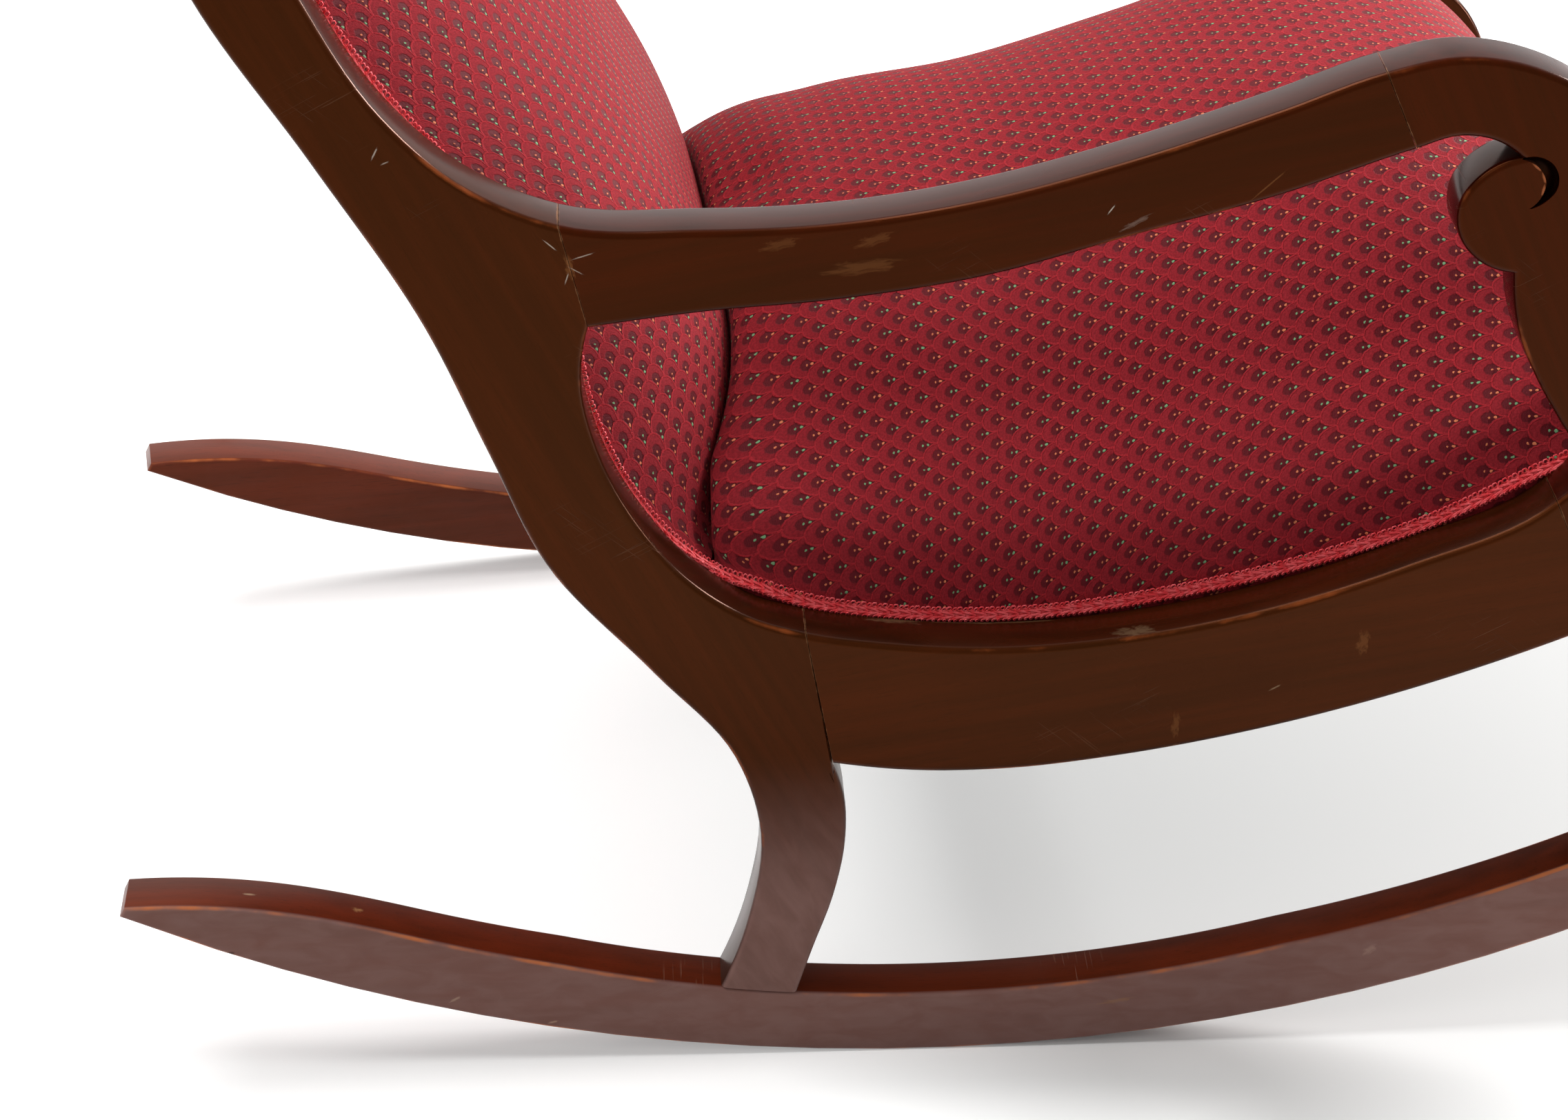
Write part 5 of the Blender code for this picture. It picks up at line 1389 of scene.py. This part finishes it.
@dataclass
class Seat:
    """Sprung seat: its pad under brocade, and the dust cover below."""

    rows: int = 100
    columns: int = 84
    fullness: float = 0.985
    pressure: float = 4.0
    cap: float = 0.008
    tuck: float = 0.012
    dust_steps: int = 24
    crease: float = 0.0015
    rearmost: float = 0.331
    splay: float = 0.080
    pressed_knots: tuple[float, float] = (2.2, 3.3)
    pressed_heights: tuple[float, float] = (0.266, 0.284)
    neighbours: int = 5
    roll_begins: tuple[float, float] = (0.10, 0.28)
    roll_ends: tuple[float, float] = (0.62, 0.80)
    roll: tuple[float, float, float] = (0.0080, 0.038, 0.019)
    hollow: tuple[float, float, float] = (-0.0045, 0.105, 0.030)
    top: Grid = field(default_factory=list)

    def pairs(self) -> list[tuple[Flat, Flat]]:
        """Knot rows from the tail on the rear rail to the tail down the front rail."""
        rear = deck_to_side(-TACKED * SEAT_RAIL, REAR_RAIL_HEIGHT + BURLAP + COVER)
        face = SEAT_LENGTH + SEAT_RAIL + FIT_GAP + COVER
        front = [deck_to_side(face, level * FRONT_RAIL_HEIGHT) for level in SEAT_FRONT_TAIL]
        body = [tuple(deck_to_side(share * SEAT_LENGTH, up) for share, up in pair) for pair in SEAT_ROWS]
        return [(rear, rear)] + body + [(point, point) for point in front]

    def burlap_level(self, across: float, along: float, half: float) -> float:
        """Height over the seat frame's underside of the burlap that the pad lies on."""
        flat = WEBBING / 2 + SPRING_HEIGHT + BURLAP
        edge = REAR_RAIL_HEIGHT + (FRONT_RAIL_HEIGHT - REAR_RAIL_HEIGHT) * clamp(along / SEAT_LENGTH)
        room = min(along, SEAT_LENGTH - along, half - BATTEN - abs(across))
        share = clamp(room / DECK_SLOPE_RUN)
        return edge + (flat - edge) * share + BURLAP + PAD_LIFT

    def underside(self, top: Grid) -> Grid:
        """Hidden underside of the pad, on the burlap and the front rail's face."""
        cosine = math.cos(SEAT_SLOPE)
        sine = math.sin(SEAT_SLOPE)
        normals = grid_normals(top)
        under = []
        for row, leans in zip(top, normals):
            line = []
            for point, lean in zip(row, leans):
                x = TIP_Y - point.y - SEAT_REAR_X
                z = point.z - SEAT_REAR_Z
                along = x * cosine + z * sine
                up = -x * sine + z * cosine
                half = cloth_half_width(TIP_Y - point.y)
                level = self.burlap_level(point.x, along, half)
                sunk = point - lean * PAD_FILM
                if level < up - THINNEST_PAD:
                    side, height = deck_to_side(along, level)
                    sunk = Vector((point.x, TIP_Y - side, height))
                    reach = cloth_half_width(side)
                    sunk.x = clamp(sunk.x, -reach, reach)
                line.append(sunk)
            under.append(line)
        return under

    def lean_on(self, grid: Grid, back: Grid) -> Grid:
        """The seat's points with its rear rows pressed against the back pad.

        Args:
            grid: The seat's points.
            back: The back pad's front.

        Returns:
            The grid with its crease closed.
        """
        faces = [point for row in back for point in row]
        tree = KDTree(len(faces))
        for index, point in enumerate(faces):
            tree.insert((point.x, 0.0, point.z), index)
        tree.balance()
        knot = (self.rows - 1) / (len(self.pairs()) - 1)
        pressed = []
        for number, row in enumerate(grid):
            share = 1 - smooth_step(*self.pressed_knots, number / knot)
            line = []
            for point in row:
                found = tree.find_n((point.x, 0.0, point.z), self.neighbours)
                weights = [1 / (distance + 0.001) for _, _, distance in found]
                pulls = [faces[index].y * weight for (_, index, _), weight in zip(found, weights)]
                face = sum(pulls) / sum(weights) - self.crease
                pull = share * smooth_step(*self.pressed_heights, point.z)
                reach = TIP_Y - self.rearmost + self.splay * abs(point.x)
                pulled = point.y + pull * max(0.0, min(face, reach) - point.y)
                line.append(Vector((point.x, min(face, pulled), point.z)))
            pressed.append(line)
        return pressed

    def rolled(self, grid: Grid) -> Grid:
        """The seat's points with a stitched roll along both sides and a slight hollow above it."""
        shaped = []
        for number, (row, leans) in enumerate(zip(grid, grid_normals(grid))):
            share = number / (self.rows - 1)
            strength = smooth_step(*self.roll_begins, share) * (1 - smooth_step(*self.roll_ends, share))
            lengths = lengths_along(row)
            line = []
            for point, lean, length in zip(row, leans, lengths):
                edge = min(length, lengths[-1] - length)
                waves = (self.roll, self.hollow)
                shift = sum(height * math.exp(-((edge - at) / wide) ** 2) for height, at, wide in waves)
                line.append(point + lean * shift * strength)
            shaped.append(line)
        return shaped

    def build(self, cloth: Material, cambric: Material, back: Grid) -> None:
        """Make the pad and the dust cover, with the pad against the back."""
        grid = covering_grid(self.pairs(), self.rows, self.columns, self.fullness, SEAT_CROWN_POWER)
        start = face_grid(grid, (0, 0, 1))
        held = (self.rows / SEAT_KNOT_GAPS, self.rows * SEAT_FRONT_GAPS / SEAT_KNOT_GAPS)
        swollen = self.rolled(swell(start, self.pressure, self.cap, tuple(math.ceil(rows) for rows in held)))
        self.top = self.lean_on(swollen, back)
        places = [[(u, -v) for u, v in row] for row in flat_map(tucked(start, self.tuck))]
        cloth_top = tucked(self.top, self.tuck)
        mesh = closed_pad("seat_pad", cloth_top, self.underside(cloth_top), places)
        made = add_piece("seat_pad", mesh, cloth, ["seat_cover", "seat_stuffing"])
        smooth_levels(made, 1)
        self.dust_cover(cambric)

    def dust_cover(self, cambric: Material) -> None:
        """Make the cloth tacked under the seat frame, with a slight sag."""
        under = -(2 * WEBBING + 3 * FIT_GAP)
        low = -TACKED * SEAT_RAIL
        high = SEAT_LENGTH + TACKED * SEAT_RAIL
        steps = self.dust_steps
        grid = []
        for row in range(steps + 1):
            along = low + (high - low) * row / steps
            half = inner_half_width(deck_to_side(along, under)[0]) - 2 * SIDE_CLEARANCE
            line = []
            for column in range(steps + 1):
                across = 2 * column / steps - 1
                sag = DUST_SAG * (1 - across ** 4) * math.sin(math.pi * row / steps) ** 0.5
                x, z = deck_to_side(along, under - 0.0005 - sag)
                line.append(Vector((across * half, TIP_Y - x, z)))
            grid.append(line)
        grid = face_grid(grid, (0, 0, -1))
        mesh = grid_mesh("dust_cloth", grid)
        mesh.shade_smooth()
        made = add_piece("dust_cloth", mesh, cambric, ["dust_cover"])
        add_thickness(made, DUST_CLOTH, -1.0)


def back_line(distance: float, count: int) -> list[Vector]:
    """Line of the back covering's edge, moved towards the rear."""
    edges = [edge for edge, _ in covering_rows(BACK_ROWS, count)]
    moved = []
    for index, edge in enumerate(edges):
        down = knot_direction(edges, index)
        moved.append(edge + Vector((down.y, -down.x)) * distance)
    return moved


def across_grid(line: Sequence[Vector], columns: int) -> Grid:
    """Grid straight across the chair along a line."""
    grid = []
    for point in line:
        half = cloth_half_width(point.x)
        grid.append([Vector((side * half, TIP_Y - point.x, point.y)) for side in side_places(columns)])
    return grid


@dataclass
class Back:
    """Padded back under brocade, and the outside back cloth."""

    rows: int = 110
    columns: int = 72
    fullness: float = 0.93
    pressure: float = 3.0
    cap: float = 0.008
    outside_rows: int = 60
    outside_columns: int = 36
    front: Grid = field(default_factory=list)
    outside: Grid = field(default_factory=list)

    def build(self, cloth: Material) -> None:
        """Make the pad and the outside cloth."""
        face = CREST_THICKNESS / 2 + FIT_GAP
        body = covering_grid(BACK_ROWS, self.rows, self.columns, self.fullness, BACK_CROWN_POWER)
        step = crest_lean()[1] * LAP_STEP
        lap = crest_lap(face + COVER)
        start = face_grid(across_grid([lap, lap + step], self.columns) + body, (0, -1, 0))
        self.front = swell(start, self.pressure, self.cap, (3, 2))
        depth = COVER + FIT_GAP + BACK_PAD_EDGE
        under = crest_lap(face + 0.0002)
        rear = across_grid([under, under + step] + back_line(depth, self.rows), self.columns)
        if start[0][0].x * rear[0][0].x < 0:
            rear = [row[::-1] for row in rear]
        places = [[(u, -v) for u, v in row] for row in flat_map(start)]
        mesh = closed_pad("back_pad", self.front, rear, places)
        made = add_piece("back_pad", mesh, cloth, ["back_cover", "back_stuffing"])
        smooth_levels(made, 1)
        self.outside_cloth(cloth)

    def outside_cloth(self, cloth: Material) -> None:
        """Make the cloth stretched over the back of the frame."""
        depth = COVER + 2 * FIT_GAP + BACK_PAD_EDGE + BURLAP + FIT_GAP + WEBBING + FIT_GAP
        depth += BACK_BATTEN_DEPTH + FIT_GAP + 0.5 * COVER
        face = CREST_THICKNESS / 2 + FIT_GAP + 0.5 * COVER
        rail_face = -SEAT_RAIL - FIT_GAP - 0.5 * COVER
        tails = [deck_to_side(rail_face, up) for up in (0.8 * REAR_RAIL_HEIGHT, 0.001)]
        line = [crest_lap(-face)] + back_line(depth, self.outside_rows) + [Vector(tail) for tail in tails]
        self.outside = face_grid(across_grid(line, self.outside_columns), (0, 1, 0))
        places = [[(u, -v) for u, v in row] for row in flat_map(self.outside)]
        mesh = grid_mesh("outside_cloth", self.outside)
        lay_weave(mesh, [place for row in places for place in row])
        mesh.shade_smooth()
        made = add_piece("outside_cloth", mesh, cloth, ["outside_back_cover"])
        add_thickness(made, OUTSIDE_CLOTH, 0.0)


# Gimp braid

@dataclass
class Gimp:
    """Scroll braid: herringbone strands on a tape, with curls along its upper edge."""

    pitch: float = 0.0055
    strand: float = 0.00048
    curl: float = 0.0013
    strands: tuple = ((0.0027, 0.0004), (0.0019, 0.0002), (-0.0013, 0.0), (-0.0021, -0.0003))
    curls: tuple = (
        (-0.0015, 0.0032, 0.5, 1.0), (0.0011, 0.0035, 0.2, 1.0), (-0.0012, -0.0025, 0.4, 0.62),
        (0.0016, -0.0025, 0.6, 0.62),
    )
    tree: NodeTree | None = None
    inputs: dict[str, str] = field(default_factory=dict)

    def socket(self, name: str, kind: str, value: object = None) -> None:
        """Add one named input to the tree."""
        made = self.tree.interface.new_socket(name=name, in_out="INPUT", socket_type=kind)
        if value is not None:
            made.default_value = value
        self.inputs[name] = made.identifier

    def tube(self, sketch: Sketch, curve: object, radius: object, sides: int) -> NodeSocket:
        """Round cord along a curve."""
        ring = sketch.node("GeometryNodeCurvePrimitiveCircle", {"Resolution": sides, "Radius": radius})
        inputs = {"Curve": curve, "Profile Curve": ring.outputs[0], "Fill Caps": True}
        return sketch.node("GeometryNodeCurveToMesh", inputs).outputs[0]

    def build_tree(self) -> None:
        """Draw the node tree that lays the braid along a line."""
        self.tree = bpy.data.node_groups.new("gimp_braid", "GeometryNodeTree")
        self.socket("Line", "NodeSocketGeometry")
        self.socket("Pitch", "NodeSocketFloat", self.pitch)
        self.socket("Strand", "NodeSocketFloat", self.strand)
        self.socket("Curl", "NodeSocketFloat", self.curl)
        self.socket("Finish", "NodeSocketMaterial")
        self.tree.interface.new_socket(name="Braid", in_out="OUTPUT", socket_type="NodeSocketGeometry")
        sketch = Sketch(self.tree)
        given = sketch.node("NodeGroupInput").outputs
        parts = []
        for near, far in self.strands:
            bend = 0.5 * (near + far) + (0.0005 if near > 0 else -0.0005)
            curve = sketch.node("GeometryNodeCurveQuadraticBezier", {
                "Resolution": 3, "Start": (-0.0041, near, 0.0006), "Middle": (-0.0009, bend, 0.0016),
                "End": (0.0039, far, 0.0008),
            })
            parts.append(self.tube(sketch, curve.outputs[0], given["Strand"], 4))
        for at, level, tilt, size in self.curls:
            ring = sketch.node("GeometryNodeCurvePrimitiveCircle", {"Resolution": 6, "Radius": given["Curl"]})
            cord = self.tube(sketch, ring.outputs[0], given["Strand"], 3)
            moved = sketch.node("GeometryNodeTransform", {
                "Geometry": cord, "Translation": (at, level, 0.0011), "Rotation": (0.5, tilt, 0.0),
                "Scale": (size, size, 1.0),
            })
            parts.append(moved.outputs[0])
        tape = sketch.node("GeometryNodeMeshCube", {"Size": (1.12 * self.pitch, 0.0052, 0.0008)})
        parts.append(tape.outputs[0])
        unit = sketch.node("GeometryNodeJoinGeometry")
        for part in parts:
            sketch.tree.links.new(part, unit.inputs[0])
        line = sketch.node("GeometryNodeMeshToCurve", {"Mesh": given["Line"]})
        spacing = {"Curve": line.outputs[0], "Length": given["Pitch"]}
        even = sketch.node("GeometryNodeResampleCurve", spacing, mode="LENGTH")
        outward = sketch.node(
            "GeometryNodeInputNamedAttribute", {"Name": "outward"}, data_type="FLOAT_VECTOR")
        tangent = sketch.node("GeometryNodeInputTangent")
        turn = sketch.node(
            "FunctionNodeAxesToRotation",
            {"Primary Axis": tangent.outputs[0], "Secondary Axis": outward.outputs[0]},
            primary_axis="X", secondary_axis="Z",
        )
        laid = sketch.node("GeometryNodeInstanceOnPoints", {
            "Points": even.outputs[0], "Instance": unit.outputs[0], "Rotation": turn.outputs[0],
        })
        plain = sketch.node("GeometryNodeRealizeInstances", {"Geometry": laid.outputs[0]})
        smooth = sketch.node("GeometryNodeSetShadeSmooth", {"Geometry": plain.outputs[0]})
        finish = {"Geometry": smooth.outputs[0], "Material": given["Finish"]}
        dressed = sketch.node("GeometryNodeSetMaterial", finish)
        sketch.node("NodeGroupOutput", {0: dressed.outputs[0]})

    def lay(self, name: str, lines: Sequence[Line], satin: Material) -> None:
        """Lay braid along some lines as one piece.

        Args:
            name: The piece's name.
            lines: Points with the direction that the braid faces.
            satin: Its finish.
        """
        points = [point for line in lines for point, _ in line]
        edges = []
        start = 0
        for line in lines:
            edges += [(start + index, start + index + 1) for index in range(len(line) - 1)]
            start += len(line)
        mesh = bpy.data.meshes.new(name)
        mesh.from_pydata(points, edges, [])
        facing = mesh.attributes.new("outward", "FLOAT_VECTOR", "POINT")
        facing.data.foreach_set("vector", [part for line in lines for _, out in line for part in out])
        draft = linked(name + "_line", mesh)
        modifier = draft.modifiers.new("braid", "NODES")
        modifier.node_group = self.tree
        given = {"Pitch": self.pitch, "Strand": self.strand, "Curl": self.curl, "Finish": satin}
        for name_of_input, value in given.items():
            modifier[self.inputs[name_of_input]] = value
        add_piece(name, plain_copy(draft, name), satin, [])


def edge_line(grid: Grid, column: int, rows: range, inset: float, lift: float) -> Line:
    """Line for the braid along one side of a covering, with its curls on the covering's side.

    Args:
        grid: The covering's points.
        column: 0 for the first side, -1 for the other.
        rows: Rows that the line passes.
        inset: Distance in from the edge.
        lift: Height over the cloth.

    Returns:
        Points with the direction that the braid faces.
    """
    normals = grid_normals(grid)
    line = []
    for number in rows:
        row = grid[number]
        inner = row[1] if column == 0 else row[-2]
        edge = row[column]
        lean = (normals[number][column] + normals[number][1 if column == 0 else -2]).normalized()
        line.append((edge + (inner - edge).normalized() * inset + lean * lift, lean))
    along = line[1][0] - line[0][0]
    first = grid[rows[0]]
    inward = first[len(first) // 2] - first[column]
    if line[0][1].cross(along).dot(inward) <= 0:
        line.reverse()
    return line


def row_line(grid: Grid, number: int, toward: int, inset: float, lift: float) -> Line:
    """Line for the braid along one row of a covering, with its curls toward another row."""
    normals = grid_normals(grid)
    line = []
    for point, inner, lean in zip(grid[number], grid[toward], normals[number]):
        line.append((point + (inner - point).normalized() * inset + lean * lift, lean))
    along = line[1][0] - line[0][0]
    if line[0][1].cross(along).dot(grid[toward][0] - grid[number][0]) < 0:
        line.reverse()
    return line


# Hidden work

@dataclass
class HiddenWork:
    """Frame members, springs, webbing and burlap that the coverings hide."""

    def build(self) -> None:
        """Dress the rigid solids, and stand softer copies in for the cloth ones."""
        beech = PlainWood()
        lengthways = PlainWood("plain_beech_lengthways", (120.0, 9.0, 120.0))
        upright = PlainWood("plain_beech_upright", (120.0, 120.0, 9.0))
        finishes = {
            "crosswise": beech.material(), "lengthways": lengthways.material(), "upright": upright.material(),
            "wire": SpringSteel().material(),
        }
        for name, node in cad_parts.items():
            if "dowel" in name or name.endswith("seat_batten"):
                self.dress(node, finishes["lengthways"])
            elif name.endswith("back_batten"):
                self.dress(node, finishes["upright"])
            elif name in ("rear_seat_rail", "front_seat_rail", "lower_back_rail"):
                self.dress(node, finishes["crosswise"])
            elif name.startswith("seat_spring"):
                self.dress(node, finishes["wire"])
        jute = PlainWeave("jute_webbing", 0.0016, (0.42, 0.30, 0.17), (0.17, 0.11, 0.055)).material()
        burlap = PlainWeave("burlap_weave", 0.0022, (0.46, 0.34, 0.19), (0.14, 0.09, 0.045), 0.6).material()
        for name in sorted(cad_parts):
            if "webbing" in name:
                self.stand_in(name, jute)
            elif name.endswith("burlap"):
                made = self.stand_in(name, burlap)

    def dress(self, node: Object, material: Material) -> None:
        """Give a solid its finish."""
        node.data.materials.clear()
        node.data.materials.append(material)
        LOG.info("%s: dressed", node.name)

    def stand_in(self, name: str, material: Material) -> Object:
        """Merged copy of a cloth solid, with a finer weave over it."""
        copied = bmesh.new()
        copied.from_mesh(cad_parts[name].data)
        bmesh.ops.remove_doubles(copied, verts=copied.verts, dist=1e-6)
        bmesh.ops.subdivide_edges(copied, edges=copied.edges, cuts=1, use_grid_fill=True)
        cloth = name + "_cloth"
        return add_piece(cloth, mesh_of(copied, cloth), material, [name])


# Studio

@dataclass
class Studio:
    """Pale floor, soft lamps and the camera at the photograph's angle."""

    eye: tuple[float, float, float] = (-1.99472, 0.31334, 1.25457)
    gaze: tuple[float, float, float] = (0.8685, -0.1000, -0.4854)
    lens: float = 91.03
    floor_reach: float = 14.0

    def build(self) -> None:
        """Set the stage."""
        self.camera()
        self.floor()
        self.world()
        self.lamp("overhead", (0.1, 1.0, 2.4), (0.0, 0.0, 0.3), 1.6, 70.0)
        self.lamp("front_key", (1.0, -2.5, 1.5), (0.0, 0.15, 0.6), 1.0, 122.0)
        self.lamp("low_strip", (-0.4, -2.7, 0.62), (0.0, 0.2, 0.6), 0.5, 30.0)
        self.lamp("far_panel", (2.6, 0.3, 1.75), (0.0, 0.0, 0.45), 2.0, 4.0)
        self.lamp("near_fill", (-2.0, 1.3, 2.3), (0.0, -0.1, 0.3), 1.4, 10.0)
        bpy.context.scene.view_settings.view_transform = "Standard"

    def camera(self) -> None:
        """Place the camera."""
        data = bpy.data.cameras.new("view")
        data.lens = self.lens
        data.sensor_width = 36.0
        data.clip_start = 0.05
        made = linked("view", data)
        made.location = self.eye
        made.rotation_euler = Vector(self.gaze).to_track_quat("-Z", "Y").to_euler()
        bpy.context.scene.camera = made

    def floor(self) -> None:
        """Lay the floor, white to the camera and in reflections far from the chair, with the chair's shadow
        and painted light that is brighter behind the chair.
        """
        mesh = bpy.data.meshes.new("floor")
        reach = self.floor_reach
        corners = [(-reach, -reach, 0), (reach, -reach, 0), (reach, reach, 0), (-reach, reach, 0)]
        mesh.from_pydata(corners, [], [(0, 1, 2, 3)])
        material, sketch, shader = new_material("pale_floor")
        place = sketch.own_place()
        # Painted light: the camera and reflections see extra emission that rises behind the chair and far
        # from it, and is least in front of and under the chair.
        away = sketch.vector("LENGTH", sketch.vector("DIVIDE", place, (0.50, 0.62, 1.0)))
        depth = sketch.parts(place)[1]
        painted_light_behind = sketch.plus(
            sketch.fade(depth, -0.35, -0.02, 0.0, 0.03), sketch.fade(depth, -0.08, 0.12, 0.0, 0.30))
        painted_floor_light = sketch.larger(painted_light_behind, sketch.fade(away, 0.75, 1.6, 0.04, 0.78))
        sketch.feed_all(shader, {
            "Base Color": (0.80, 0.80, 0.79), "Roughness": 0.9, "Specular IOR Level": 0.1,
            "Emission Color": (1.0, 1.0, 1.0), "Emission Strength": sketch.times(sketch.shown(), painted_floor_light),
        })
        mesh.materials.append(material)
        made = linked("floor", mesh)

    def world(self) -> None:
        """Light the surroundings softly, white to the camera and in reflections."""
        world = bpy.data.worlds.new("studio")
        bpy.context.scene.world = world
        world.use_nodes = True
        sketch = Sketch(world.node_tree)
        backdrop = world.node_tree.nodes["Background"]
        strength = sketch.weighted(0.19, (sketch.shown(), 0.81))
        sketch.feed_all(backdrop, {"Color": (1.0, 1.0, 1.0), "Strength": strength})

    def lamp(
        self, name: str, place: Sequence[float], target: Sequence[float], size: float, power: float,
    ) -> None:
        """Hang one soft lamp."""
        data = bpy.data.lights.new(name, "AREA")
        data.size = size
        data.energy = power
        made = linked(name, data)
        made.location = place
        made.rotation_euler = (Vector(target) - Vector(place)).to_track_quat("-Z", "Y").to_euler()


def main() -> None:
    """Build the chair's sub-assemblies in order and set the stage."""
    logging.basicConfig(level=logging.INFO, format="%(name)s %(message)s")
    Studio().build()
    SideFrame(Side.RIGHT, marks=NEAR_MARKS).build()
    SideFrame(Side.LEFT, marks=FAR_MARKS).build()
    CrestRail().build()
    brocade = Brocade().material()
    cambric = PlainWeave("black_cambric", 0.0011, (0.030, 0.030, 0.033), (0.010, 0.010, 0.011)).material()
    back = Back()
    back.build(brocade)
    seat = Seat()
    seat.build(brocade, cambric, back.front)
    satin = Satin().material()
    gimp = Gimp()
    gimp.build_tree()
    seat_rows = range(
        math.ceil(seat.rows / SEAT_KNOT_GAPS), math.floor(seat.rows * SEAT_BRAID_GAPS / SEAT_KNOT_GAPS))
    back_rows = range(len(back.front))
    outside_rows = range(len(back.outside))
    both_ends = [(0, 1, 0.0042), (-1, -2, 0.0042)]
    # Each braid's covering, its rows, its distance in from the sides and over the cloth, and its ends
    for name, grid, rows, inset, lift, ends in (
        ("seat_gimp", seat.top, seat_rows, 0.0010, 0.0010, [(-1, -2, 0.0038)]),
        ("back_gimp", back.front, back_rows, 0.0022, 0.0010, [(0, 1, 0.0038)]),
        ("outside_gimp", back.outside, outside_rows, 0.0042, 0.0012, both_ends),
    ):
        lines = [edge_line(grid, column, rows, inset, lift) for column in (0, -1)]
        lines += [row_line(grid, number, toward, end_inset, lift) for number, toward, end_inset in ends]
        gimp.lay(name, lines, satin)
    HiddenWork().build()


if __name__ == "__main__":
    main()
